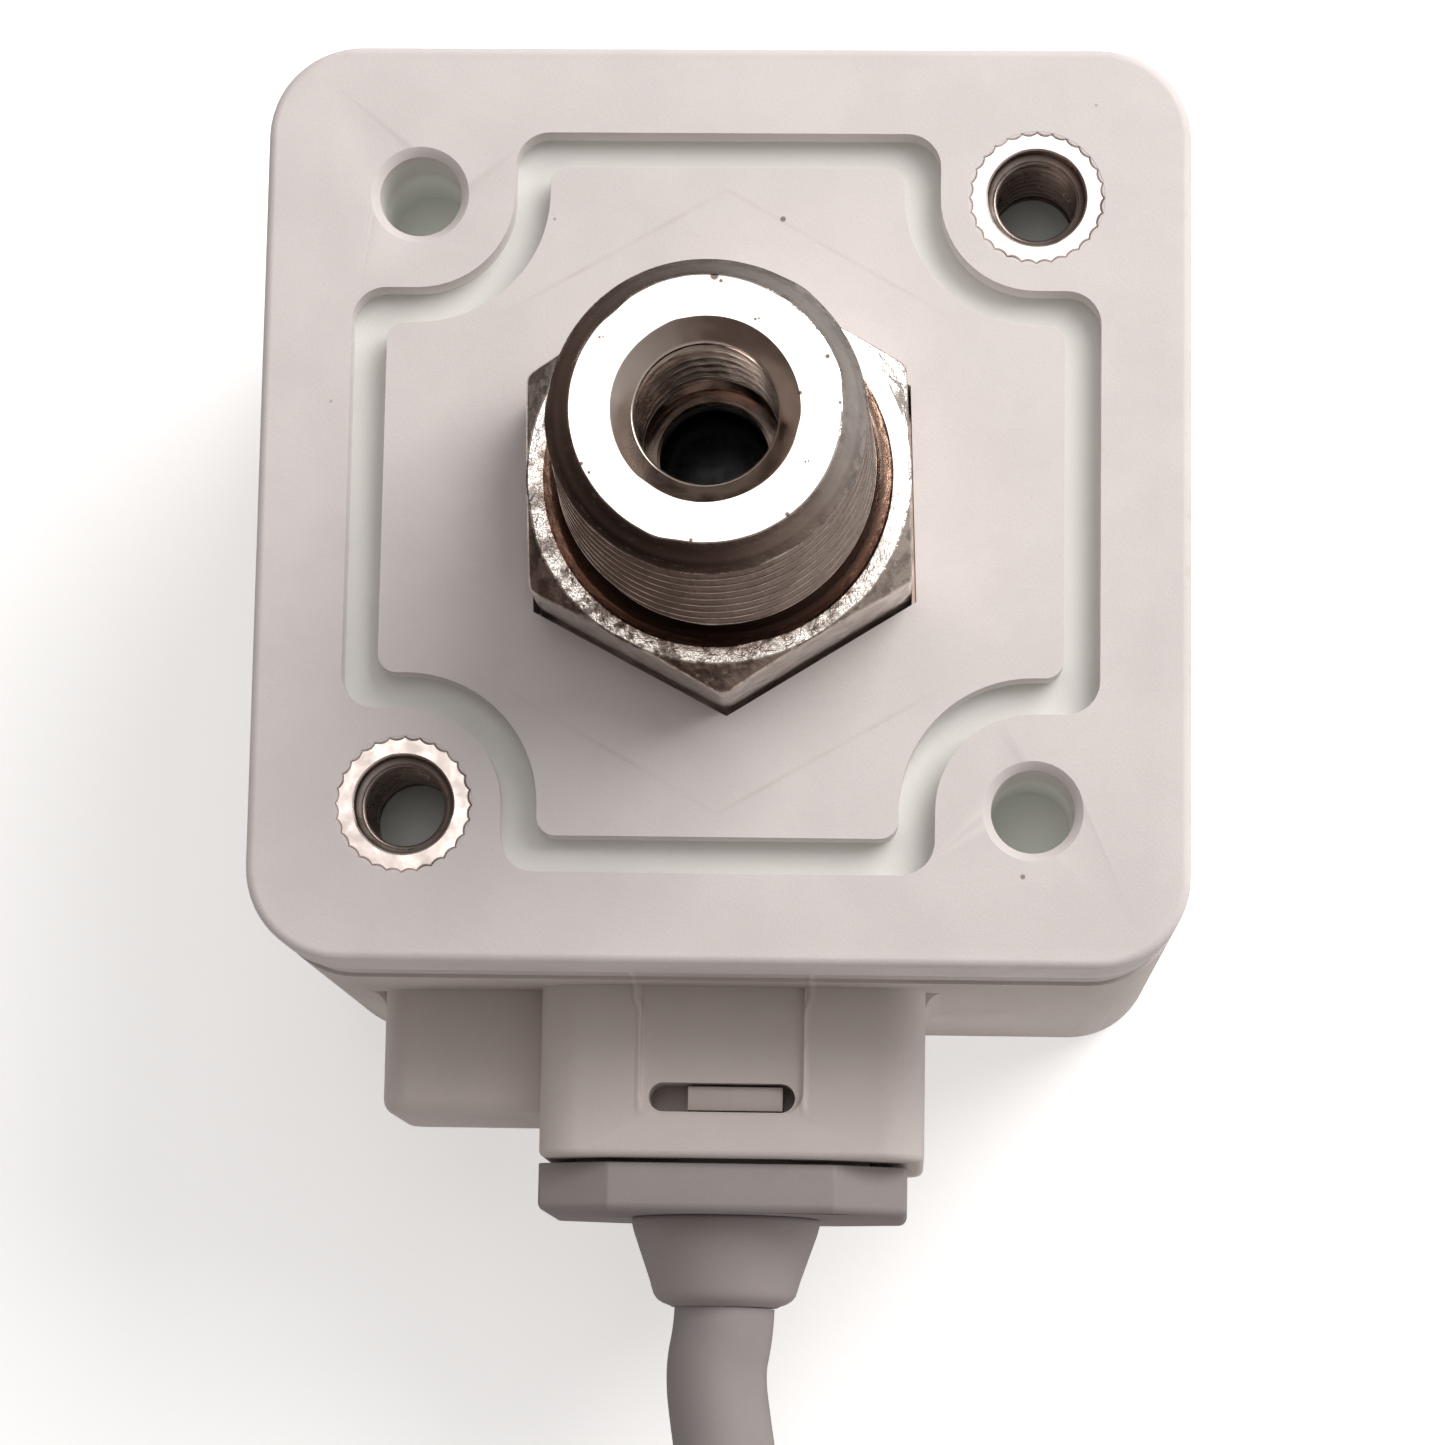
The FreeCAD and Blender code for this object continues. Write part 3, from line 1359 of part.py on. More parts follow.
# ---------------------------------------------------------------- write the pieces
def all_pieces():
    pieces = {
        "front_case": make_front_case(),
        "rear_cover": make_rear_cover(),
        "cover_gasket": make_cover_gasket(),
        "port_fitting": make_port_fitting(),
        "port_seal": make_port_seal(),
        "sensor_capsule": make_sensor_capsule(),
        "sensor_gel": make_sensor_gel(),
        "capsule_seal": make_capsule_seal(),
        "capsule_ring": make_capsule_ring(),
        "sensor_leads": make_sensor_leads(),
        "clamp_plate": make_clamp_plate(),
        "clamp_screws": make_clamp_screws(),
        "display_window": make_display_window(),
        "display_glass": make_display_glass(),
        "display_digits": make_display_digits(),
        "display_backlight": make_display_backlight(),
        "display_board": make_display_board(),
        "sensor_board": make_sensor_board(),
        "board_standoffs": make_board_standoffs(),
        "board_screws": make_board_screws(),
        "board_header": make_board_header(),
        "header_pins": make_header_pins(),
        "microcontroller": make_microcontroller(),
        "amplifier_chip": make_amplifier_chip(),
        "output_transistors": make_output_transistors(),
        "capacitors": make_capacitors(),
        "switch_bodies": make_switch_bodies(),
        "switch_domes": make_switch_domes(),
        "led_lenses": make_led_lenses(),
        "indicator_leds": make_indicator_leds(),
        "pin_carrier": make_pin_carrier(),
        "socket_pins": make_socket_pins(),
        "plug_body": make_plug_body(),
        "plug_contacts": make_plug_contacts(),
        "latch_lever": make_latch_lever(),
        "cable_boot": make_cable_boot(),
        "cable_tube": make_cable_tube(),
        "cable_hank": make_cable_hank(),
        "cable_ties": make_cable_ties(),
        "tinned_ends": make_tinned_ends(),
    }
    for name, corner in insert_corners.items():
        pieces[name] = make_insert(corner)
    for name, x in key_x.items():
        pieces[name + "_key"] = make_key(x)
        pieces[name + "_plunger"] = make_plunger(x)
    for colour, centre in core_centres().items():
        pieces["core_" + colour] = make_core(centre)
    return pieces


os.makedirs("parts", exist_ok=True)
for name, shape in all_pieces().items():
    shape.exportStep("parts/" + name + ".step")
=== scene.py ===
import json
import math

import bmesh
import bpy
from mathutils import Matrix, Vector


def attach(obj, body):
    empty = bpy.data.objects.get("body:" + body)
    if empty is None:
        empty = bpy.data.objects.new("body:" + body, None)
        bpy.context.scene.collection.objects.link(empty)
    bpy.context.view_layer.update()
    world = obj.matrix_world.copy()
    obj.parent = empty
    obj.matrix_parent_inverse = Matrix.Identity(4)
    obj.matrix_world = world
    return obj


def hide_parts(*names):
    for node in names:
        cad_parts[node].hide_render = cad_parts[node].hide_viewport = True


# A 30 mm pressure switch that lies on its display face. The frame is in metres and most
# sizes below are in millimetres, so MM turns one into the other.
MM = 0.001
BODY_TOP = 25.0
LEAD_HEIGHT = 12.5
HEX_TOP = 28.7
HEX_TURN = math.radians(2.0)
HEX_FLAT = 6.0
HEX_WEAR = 70
PORT_END = 37.9
THREAD_END = 37.0

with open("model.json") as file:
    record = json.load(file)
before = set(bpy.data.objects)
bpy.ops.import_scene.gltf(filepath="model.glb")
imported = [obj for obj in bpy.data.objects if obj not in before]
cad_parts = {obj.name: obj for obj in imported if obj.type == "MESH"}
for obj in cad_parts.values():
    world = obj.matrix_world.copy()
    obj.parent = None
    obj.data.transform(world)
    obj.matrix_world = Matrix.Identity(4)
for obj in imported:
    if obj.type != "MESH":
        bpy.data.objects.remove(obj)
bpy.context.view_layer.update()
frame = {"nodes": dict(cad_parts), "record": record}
nodes = frame["nodes"]

# ---------------------------------------------------------------- camera
CAMERA_AT = Vector((6.09, -29.47, 166.57)) * MM
AHEAD = Vector((-0.0416, 0.1548, -0.9871)).normalized()
ACROSS = Vector((0.9991, 0.0166, -0.0395))
ACROSS = (ACROSS - AHEAD * ACROSS.dot(AHEAD)).normalized()
UP = ACROSS.cross(AHEAD).normalized()
SENSOR_WIDTH = 36.0
LENS_TO_WIDTH = 3.1204152
camera_data = bpy.data.cameras.new("camera")
camera_data.sensor_fit = "HORIZONTAL"
camera_data.sensor_width = SENSOR_WIDTH
camera_data.lens = LENS_TO_WIDTH * SENSOR_WIDTH
camera_data.clip_start = 0.005
camera_data.clip_end = 20.0
camera = bpy.data.objects.new("camera", camera_data)
bpy.context.scene.collection.objects.link(camera)
camera.matrix_world = Matrix(
    (
        (ACROSS.x, UP.x, -AHEAD.x, CAMERA_AT.x),
        (ACROSS.y, UP.y, -AHEAD.y, CAMERA_AT.y),
        (ACROSS.z, UP.z, -AHEAD.z, CAMERA_AT.z),
        (0, 0, 0, 1),
    )
)
bpy.context.scene.camera = camera


# ---------------------------------------------------------------- lead
def spline_object(name, points, radius, resolution=6, ring=8):
    """A round cord along one smooth NURBS line, its control points in millimetres."""
    curve = bpy.data.curves.new(name, "CURVE")
    curve.dimensions = "3D"
    curve.resolution_u = resolution
    curve.bevel_depth = radius * MM
    curve.bevel_resolution = ring
    curve.use_fill_caps = True
    spline = curve.splines.new("NURBS")
    spline.points.add(len(points) - 1)
    for point, (x, y, z) in zip(spline.points, points):
        point.co = (x * MM, y * MM, z * MM, 1.0)
    spline.order_u = 3
    spline.use_endpoint_u = True
    obj = bpy.data.objects.new(name, curve)
    bpy.context.scene.collection.objects.link(obj)
    return obj


# The lead's way down to the floor, and then the hank: a racetrack whose turns lie in an
# inner and an outer column, one row above another. LANES gives column and row of each turn.
CABLE_RADIUS = 1.7
ROUTE = [
    (0.0, -25.4, LEAD_HEIGHT),
    (-0.02, -26.2, LEAD_HEIGHT),
    (-0.3, -27.6, LEAD_HEIGHT),
    (-0.02, -29.6, LEAD_HEIGHT),
    (0.38, -32.0, 12.4),
    (-0.3, -38.0, 11.5),
    (-2.6, -45.5, 9.1),
    (-6.6, -52.5, 6.4),
    (-10.8, -59.5, 3.9),
    (-13.8, -67.0, 2.5),
    (-14.9, -75.0, 2.2),
]
NEAR_Y = -75.0
FAR_Y = -135.0
INNER_LANE = 11.5
OUTER_LANE = 14.9
LANE_PITCH = 3.4
FLOOR_LANE = 2.2
RUN = 6
BEND = 6
STATIONS = 2 * (RUN + BEND)
CROSSING = 4
LAST_STATION = 3
JACKET_END_Y = -100.0
LANES = [(1, 0), (0, 0), (0, 1), (1, 1), (1, 2), (0, 2), (0, 3), (1, 3), (1, 4), (0, 4)]


def racetrack_point(station, radius):
    """A point of one turn of the hank. Station 0 is where the left run begins, at the
    near end; the winding goes down the left run, round the far end, and back."""
    s = station % STATIONS
    length = NEAR_Y - FAR_Y
    if s < RUN:
        return (-radius, NEAR_Y - length * s / RUN)
    if s < RUN + BEND:
        angle = math.pi + math.pi * (s - RUN) / BEND
        return (radius * math.cos(angle), FAR_Y + radius * math.sin(angle))
    if s < 2 * RUN + BEND:
        return (radius, FAR_Y + length * (s - RUN - BEND) / RUN)
    angle = math.pi * (s - 2 * RUN - BEND) / BEND
    return (radius * math.cos(angle), NEAR_Y + radius * math.sin(angle))


def hank_points():
    """The turns, lane by lane. The last CROSSING stations of a lane lead over to the next."""
    points = []
    last = (len(LANES) - 1) * STATIONS + LAST_STATION
    for i in range(1, last + 1):
        lane = min(i // STATIONS, len(LANES) - 1)
        column, row = LANES[lane]
        radius = OUTER_LANE if column else INNER_LANE
        z = FLOOR_LANE + LANE_PITCH * row
        into = i - lane * STATIONS
        if lane + 1 < len(LANES) and into > STATIONS - CROSSING:
            next_column, next_row = LANES[lane + 1]
            t = (into - (STATIONS - CROSSING)) / CROSSING
            t = t * t * (3 - 2 * t)
            radius += ((OUTER_LANE if next_column else INNER_LANE) - radius) * t
            z += (FLOOR_LANE + LANE_PITCH * next_row - z) * t
        x, y = racetrack_point(i, radius)
        points.append((x, y, z))
    return points


lead_points = ROUTE + hank_points()
lead_points[-1] = (lead_points[-1][0], JACKET_END_Y, lead_points[-1][2])
lead = spline_object("lead", lead_points, CABLE_RADIUS)


# ---------------------------------------------------------------- materials
# The sockets of a Mix node that take and give colours.
MIX_UNDER = 6
MIX_OVER = 7
MIX_RESULT = 2


class Shader:
    """A Principled material whose nodes work in millimetres of the object's own frame."""

    def __init__(self, name, base, rough, metallic=0.0, specular=0.5):
        self.material = bpy.data.materials.new(name)
        self.material.use_nodes = True
        self.tree = self.material.node_tree
        self.bsdf = next(n for n in self.tree.nodes if n.type == "BSDF_PRINCIPLED")
        self.bsdf.inputs["Base Color"].default_value = (*base, 1)
        self.bsdf.inputs["Roughness"].default_value = rough
        self.bsdf.inputs["Metallic"].default_value = metallic
        self.bsdf.inputs["Specular IOR Level"].default_value = specular
        self.base = base
        place = self.tree.nodes.new("ShaderNodeTexCoord")
        scale = self.node("ShaderNodeVectorMath", operation="SCALE")
        self.link(place.outputs["Object"], scale.inputs[0])
        scale.inputs["Scale"].default_value = 1 / MM
        self.place = scale.outputs[0]
        self.colour = None
        self.bump = None
        self.material.diffuse_color = (*base, 1)

    def node(self, kind, **settings):
        made = self.tree.nodes.new(kind)
        for key, value in settings.items():
            setattr(made, key, value)
        return made

    def link(self, a, b):
        self.tree.links.new(a, b)

    def noise(self, scale, detail=3.0, rough=0.55, stretch=None):
        made = self.node("ShaderNodeTexNoise")
        made.inputs["Scale"].default_value = scale
        made.inputs["Detail"].default_value = detail
        made.inputs["Roughness"].default_value = rough
        source = self.place
        if stretch:
            squeeze = self.node("ShaderNodeVectorMath", operation="MULTIPLY")
            self.link(source, squeeze.inputs[0])
            squeeze.inputs[1].default_value = stretch
            source = squeeze.outputs[0]
        self.link(source, made.inputs["Vector"])
        return made.outputs[0]

    def ramp(self, value, low, high, out_low=0.0, out_high=1.0):
        made = self.node("ShaderNodeMapRange", interpolation_type="SMOOTHSTEP")
        made.inputs["From Min"].default_value = low
        made.inputs["From Max"].default_value = high
        made.inputs["To Min"].default_value = out_low
        made.inputs["To Max"].default_value = out_high
        self.link(value, made.inputs["Value"])
        return made.outputs[0]

    def math(self, operation, a, b=None):
        made = self.node("ShaderNodeMath", operation=operation)
        for socket, value in zip(made.inputs, (a, b)):
            if value is None:
                continue
            if isinstance(value, (int, float)):
                socket.default_value = value
            else:
                self.link(value, socket)
        return made.outputs[0]

    def axis(self, letter):
        made = self.node("ShaderNodeSeparateXYZ")
        self.link(self.place, made.inputs[0])
        return made.outputs[letter]

    def attribute(self, name):
        made = self.node("ShaderNodeAttribute", attribute_name=name)
        return made.outputs["Fac"]

    def paint(self, factor, colour):
        """Lays a colour over what is there, where the factor says."""
        made = self.node("ShaderNodeMix", data_type="RGBA")
        self.link(factor, made.inputs["Factor"])
        if self.colour is None:
            made.inputs[MIX_UNDER].default_value = (*self.base, 1)
        else:
            self.link(self.colour, made.inputs[MIX_UNDER])
        made.inputs[MIX_OVER].default_value = (*colour, 1)
        self.colour = made.outputs[MIX_RESULT]
        self.link(self.colour, self.bsdf.inputs["Base Color"])
        return self

    def mottle(self, scale, amount, detail=4.0):
        """Soft lighter and darker clouds."""
        tone = 1.0 - amount
        darker = tuple(c * tone for c in self.base)
        return self.paint(self.ramp(self.noise(scale, detail), 0.35, 0.68), darker)

    def roughen(self, scale, low, high, detail=3.0, stretch=None):
        value = self.ramp(self.noise(scale, detail, stretch=stretch), 0.3, 0.7, low, high)
        self.link(value, self.bsdf.inputs["Roughness"])
        return self

    def relief(self, value, strength, distance):
        made = self.node("ShaderNodeBump")
        made.inputs["Strength"].default_value = strength
        made.inputs["Distance"].default_value = distance * MM
        self.link(value, made.inputs["Height"])
        if self.bump:
            self.link(self.bump, made.inputs["Normal"])
        self.bump = made.outputs[0]
        self.link(self.bump, self.bsdf.inputs["Normal"])
        return self

    def grain(self, scale, strength, distance=0.02, detail=2.0, stretch=None):
        return self.relief(self.noise(scale, detail, stretch=stretch), strength, distance)

    def spot(self, point, radius, colour, softness=0.35):
        """A small mark round a point of the object."""
        far = self.node("ShaderNodeVectorMath", operation="DISTANCE")
        self.link(self.place, far.inputs[0])
        far.inputs[1].default_value = point
        inner, outer = radius * (1 - softness), radius * (1 + softness)
        return self.paint(self.ramp(far.outputs["Value"], inner, outer, 1, 0), colour)


def plastic(name, base, rough, mottle=0.035, grain=0.22, specular=0.4):
    shader = Shader(name, base, rough, specular=specular)
    shader.mottle(0.35, mottle)
    shader.roughen(2.5, rough - 0.06, rough + 0.08)
    shader.grain(9.0, grain, 0.03, detail=4.0)
    speck = shader.ramp(shader.noise(16.0, 2.0), 0.3, 0.75, 0.0, 0.12)
    shader.paint(speck, tuple(c * 0.6 for c in base))
    return shader


def metal(name, base, low, high, scale=3.0, grain=0.12, stretch=None):
    shader = Shader(name, base, (low + high) / 2, metallic=1.0)
    shader.mottle(1.2, 0.18)
    shader.roughen(scale, low, high, stretch=stretch)
    shader.grain(scale * 6, grain, 0.01, stretch=stretch)
    return shader


# Specks on the cover: place, radius and colour
SPECKS = (
    (1.81, 9.24, 0.09, (0.22, 0.18, 0.16)),
    (9.69, -12.1, 0.08, (0.30, 0.25, 0.22)),
    (-5.6, 9.2, 0.05, (0.42, 0.38, 0.35)),
    (-12.7, 3.1, 0.05, (0.48, 0.43, 0.40)),
    (11.9, 13.1, 0.05, (0.46, 0.41, 0.38)),
)
GHOST_FLAT = 8.83


def cover_material():
    """Pale moulded plastic with the ghost of a hexagon round the port and a few marks, and painted
    light that makes its sunk floors and deeper hollows lighter.
    """
    shader = plastic("cover_plastic", (0.73, 0.676, 0.662), 0.52, mottle=0.05)
    x, y = shader.axis("X"), shader.axis("Y")
    reach = shader.math("ABSOLUTE", x)
    slopes = []
    for sign in (0.866, -0.866):
        slanted = shader.math("MULTIPLY", y, sign)
        halved = shader.math("MULTIPLY", x, 0.5)
        slopes.append(shader.math("ABSOLUTE", shader.math("ADD", halved, slanted)))
    across = shader.math("MAXIMUM", reach, shader.math("MAXIMUM", *slopes))
    off = shader.math("ABSOLUTE", shader.math("SUBTRACT", across, GHOST_FLAT))
    trace = shader.ramp(off, 0.02, 0.11, 1.0, 0.0)
    ends = shader.ramp(shader.math("ABSOLUTE", y), 5.6, 7.6)
    height = shader.axis("Z")
    on_top = shader.ramp(height, 24.9, 24.95)
    patchy = shader.ramp(shader.noise(0.5), 0.35, 0.6, 0.1, 0.32)
    trace = shader.math("MULTIPLY", shader.math("MULTIPLY", trace, ends), patchy)
    shader.paint(shader.math("MULTIPLY", trace, on_top), (0.52, 0.46, 0.43))
    # painted light: the groove floors below the top and the deeper hollows inside the rim are
    # painted lighter
    sunk_painted_light = shader.ramp(height, 24.25, 24.5, 0.55, 0.0)
    outermost = shader.math("MAXIMUM", reach, shader.math("ABSOLUTE", y))
    within = shader.ramp(outermost, 13.6, 13.9, 1.0, 0.0)
    shader.paint(shader.math("MULTIPLY", sunk_painted_light, within), (0.72, 0.74, 0.705))
    hollow_painted_light = shader.ramp(height, 22.0, 23.0, 0.9, 0.0)
    shader.paint(shader.math("MULTIPLY", hollow_painted_light, within), (0.90, 0.92, 0.87))
    dirt = shader.ramp(shader.noise(1.6, 6.0, 0.7), 0.56, 0.72, 0.0, 0.55)
    edge = shader.ramp(x, 14.62, 14.95)
    shader.paint(shader.math("MULTIPLY", dirt, edge), (0.56, 0.44, 0.27))
    for at_x, at_y, radius, colour in SPECKS:
        shader.spot((at_x, at_y, BODY_TOP), radius, colour)
    return shader


# Nicks in the port's end face: angle in degrees, radius and size
NICKS = (
    (146, 3.78, 0.04), (145, 3.70, 0.03), (62, 3.05, 0.045), (60.5, 3.12, 0.035), (24, 3.90, 0.07),
    (3, 3.97, 0.06), (-28, 3.35, 0.035), (-27, 3.42, 0.03), (-52, 3.98, 0.07), (-95, 3.94, 0.06),
    (-150, 3.88, 0.05), (87, 3.99, 0.13), (84, 3.86, 0.06), (205, 3.96, 0.06), (10, 2.82, 0.06),
)


def nickel_material():
    """Bright plating with turned marks, nicks and stains, painted glints, and painted shade and
    painted reflection in brown and near black where the attributes say.
    """
    shader = Shader("nickel_plate", (0.90, 0.84, 0.785), 0.2, metallic=1.0)
    shader.mottle(0.9, 0.12)
    # painted shade and painted reflection: brown, then near black, as the attribute rises
    deep = shader.attribute("deep")
    shader.paint(shader.ramp(deep, 0.0, 0.5), (0.56, 0.435, 0.375))
    shader.paint(shader.ramp(deep, 0.42, 1.0), (0.05, 0.032, 0.028))
    stain = shader.ramp(shader.noise(1.5, 4.0, 0.6), 0.46, 0.58, 0.0, 0.85)
    # this attribute sets real stains and bumps, and also the painted glints below
    dull = shader.attribute("dull")
    shader.paint(shader.math("MULTIPLY", stain, dull), (0.14, 0.098, 0.082))
    # painted highlight: near-white glints laid into the colour
    painted_glint = shader.ramp(shader.noise(3.0, 4.0, 0.65, stretch=(1, 1, 2.2)), 0.58, 0.66, 0.0, 0.8)
    shader.paint(shader.math("MULTIPLY", painted_glint, dull), (0.98, 0.90, 0.82))
    shader.roughen(1.5, 0.1, 0.2, detail=5.0)
    shader.grain(16.0, 0.03, 0.01, detail=3.0)
    worn = shader.math("MULTIPLY", shader.noise(2.2, 4.0, 0.6), dull)
    shader.relief(worn, 0.8, 0.12)
    for angle, radius, size in NICKS:
        a = math.radians(angle)
        place = (radius * math.cos(a), radius * math.sin(a), PORT_END)
        shader.spot(place, size, (0.13, 0.10, 0.085))
    return shader


def brass_material():
    shader = Shader("insert_brass", (0.80, 0.70, 0.655), 0.3, metallic=1.0)
    shader.mottle(1.5, 0.14, 5.0)
    # painted shade: dark brown where the attribute says, in the insert's bore and thread
    deep = shader.ramp(shader.attribute("deep"), 0.0, 1.0)
    shader.paint(deep, (0.10, 0.062, 0.045))
    shader.roughen(2.0, 0.24, 0.42, detail=4.0)
    shader.grain(9.0, 0.12, 0.02, detail=3.0)
    return shader


def glass(name, tint, rough, amount):
    shader = Shader(name, tint, rough)
    shader.bsdf.inputs["Transmission Weight"].default_value = amount
    shader.bsdf.inputs["IOR"].default_value = 1.49
    shader.roughen(1.2, rough, rough + 0.05)
    shader.grain(3.0, 0.02, 0.01)
    return shader


def case_material():
    """The case's plastic, with the witness lines beside the latch pocket. Its base colour is the
    cover's plastic made darker, as painted shade.
    """
    # painted shade: a darker copy of the cover's plastic
    shader = plastic("case_plastic", (0.67, 0.604, 0.577), 0.5, mottle=0.035)
    x, y = shader.axis("X"), shader.axis("Y")
    flare = shader.ramp(y, -15.95, -15.3, 0.0, 0.2)
    middle = shader.math("ADD", flare, 2.72)
    off = shader.math("ABSOLUTE", shader.math("SUBTRACT", shader.math("ABSOLUTE", x), middle))
    line = shader.ramp(off, 0.0, 0.19, 1.0, 0.0)
    upper = shader.ramp(shader.axis("Z"), 17.6, 17.75)
    inside = shader.ramp(y, -19.3, -18.9)
    patchy = shader.ramp(shader.noise(1.4), 0.3, 0.6, 0.35, 0.8)
    line = shader.math("MULTIPLY", shader.math("MULTIPLY", line, upper), inside)
    shader.relief(line, 0.5, 0.1)
    shader.paint(shader.math("MULTIPLY", line, patchy), (0.80, 0.73, 0.69))
    return shader


SHADERS = {
    "case_plastic": case_material(),
    "cover_plastic": cover_material(),
    "nickel_plate": nickel_material(),
    "insert_brass": brass_material(),
    "black_rubber": plastic("black_rubber", (0.022, 0.021, 0.02), 0.6),
    "gasket_rubber": plastic("gasket_rubber", (0.06, 0.058, 0.055), 0.7),
    "sensor_gel": plastic("sensor_gel", (0.006, 0.006, 0.008), 0.22, grain=0.02, specular=0.12),
    "sensor_can": metal("sensor_can", (0.60, 0.59, 0.57), 0.25, 0.4, stretch=(1, 1, 8)),
    "plain_steel": metal("plain_steel", (0.62, 0.62, 0.62), 0.25, 0.42),
    "contact_tin": metal("contact_tin", (0.80, 0.78, 0.74), 0.18, 0.34),
    "contact_gold": metal("contact_gold", (0.88, 0.66, 0.30), 0.16, 0.3),
    "smoked_window": glass("smoked_window", (0.22, 0.22, 0.24), 0.04, 0.85),
    "display_glass": glass("display_glass", (0.55, 0.58, 0.55), 0.06, 0.3),
    "digit_ink": plastic("digit_ink", (0.40, 0.105, 0.03), 0.35, grain=0.03),
    "backlight_white": plastic("backlight_white", (0.80, 0.80, 0.77), 0.45),
    "board_green": plastic("board_green", (0.012, 0.11, 0.045), 0.3, grain=0.1),
    "chip_black": plastic("chip_black", (0.018, 0.018, 0.02), 0.5),
    "capacitor_tan": plastic("capacitor_tan", (0.42, 0.28, 0.16), 0.35, grain=0.06),
    "key_rubber": plastic("key_rubber", (0.36, 0.355, 0.34), 0.6, grain=0.15),
    "lens_clear": glass("lens_clear", (0.90, 0.91, 0.92), 0.08, 0.7),
    "led_yellow": plastic("led_yellow", (0.78, 0.70, 0.25), 0.4, grain=0.05),
    "carrier_ivory": plastic("carrier_ivory", (0.62, 0.56, 0.44), 0.5),
    "plug_plastic": plastic("plug_plastic", (0.34, 0.304, 0.294), 0.48),
    "latch_nylon": plastic("latch_nylon", (0.60, 0.53, 0.495), 0.45),
    "boot_plastic": plastic("boot_plastic", (0.40, 0.352, 0.34), 0.5, grain=0.16),
    "cable_jacket": plastic("cable_jacket", (0.345, 0.308, 0.302), 0.47, mottle=0.05, grain=0.12),
    "tie_plastic": plastic("tie_plastic", (0.74, 0.73, 0.71), 0.4, grain=0.08),
    "core_brown": plastic("core_brown", (0.13, 0.045, 0.02), 0.35, grain=0.05),
    "core_blue": plastic("core_blue", (0.015, 0.075, 0.34), 0.35, grain=0.05),
    "core_black": plastic("core_black", (0.012, 0.012, 0.012), 0.35, grain=0.05),
    "core_white": plastic("core_white", (0.74, 0.73, 0.71), 0.35, grain=0.05),
}
record_slot = {p["node"]: p["material_slot"] for p in frame["record"]["subparts"]}
record_body = {n: b for b, ns in frame["record"]["behaviour"]["bodies"].items() for n in ns}


def dress(obj, slot):
    obj.data.materials.clear()
    obj.data.materials.append(SHADERS[slot].material)


for name, obj in nodes.items():
    dress(obj, record_slot[name])


# ---------------------------------------------------------------- mesh helpers
def piece(name, mesh, *replaced):
    """A finished mesh in place of CAD nodes, riding with them and with their finish."""
    obj = bpy.data.objects.new(name, mesh)
    bpy.context.scene.collection.objects.link(obj)
    slot = record_slot[replaced[0]]
    dress(obj, slot)
    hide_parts(*replaced)
    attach(obj, record_body[replaced[0]])
    return obj


def extra(name, mesh, slot, body):
    """A finished mesh that stands for no CAD node of its own."""
    obj = bpy.data.objects.new(name, mesh)
    bpy.context.scene.collection.objects.link(obj)
    dress(obj, slot)
    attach(obj, body)


WELD = 2e-7
FLAT_ANGLE = math.radians(0.6)
SHARP_ANGLE = math.radians(24)
BEVEL_ANGLE = math.radians(32)


def softened(node, width, segments=2):
    """A copy of a CAD node's mesh with its sharp edges rounded."""
    source = nodes[node].data.copy()
    mesh = bmesh.new()
    mesh.from_mesh(source)
    bmesh.ops.remove_doubles(mesh, verts=mesh.verts, dist=WELD)
    bmesh.ops.dissolve_limit(mesh, angle_limit=FLAT_ANGLE, verts=mesh.verts, edges=mesh.edges)
    mesh.to_mesh(source)
    mesh.free()
    for face in source.polygons:
        face.use_smooth = True
    source.set_sharp_from_angle(angle=SHARP_ANGLE)
    holder = bpy.data.objects.new("holder", source)
    bpy.context.scene.collection.objects.link(holder)
    bevel = holder.modifiers.new("bevel", "BEVEL")
    bevel.width = width * MM
    bevel.segments = segments
    bevel.limit_method = "ANGLE"
    bevel.angle_limit = BEVEL_ANGLE
    bevel.use_clamp_overlap = True
    bevel.miter_outer = "MITER_ARC"
    even = holder.modifiers.new("even", "WEIGHTED_NORMAL")
    even.keep_sharp = True
    view = bpy.context.evaluated_depsgraph_get()
    made = bpy.data.meshes.new_from_object(holder.evaluated_get(view))
    bpy.data.objects.remove(holder)
    for face in made.polygons:
        face.use_smooth = True
    made.set_sharp_from_angle(angle=SHARP_ANGLE)
    piece(node + "_skin", made, node)


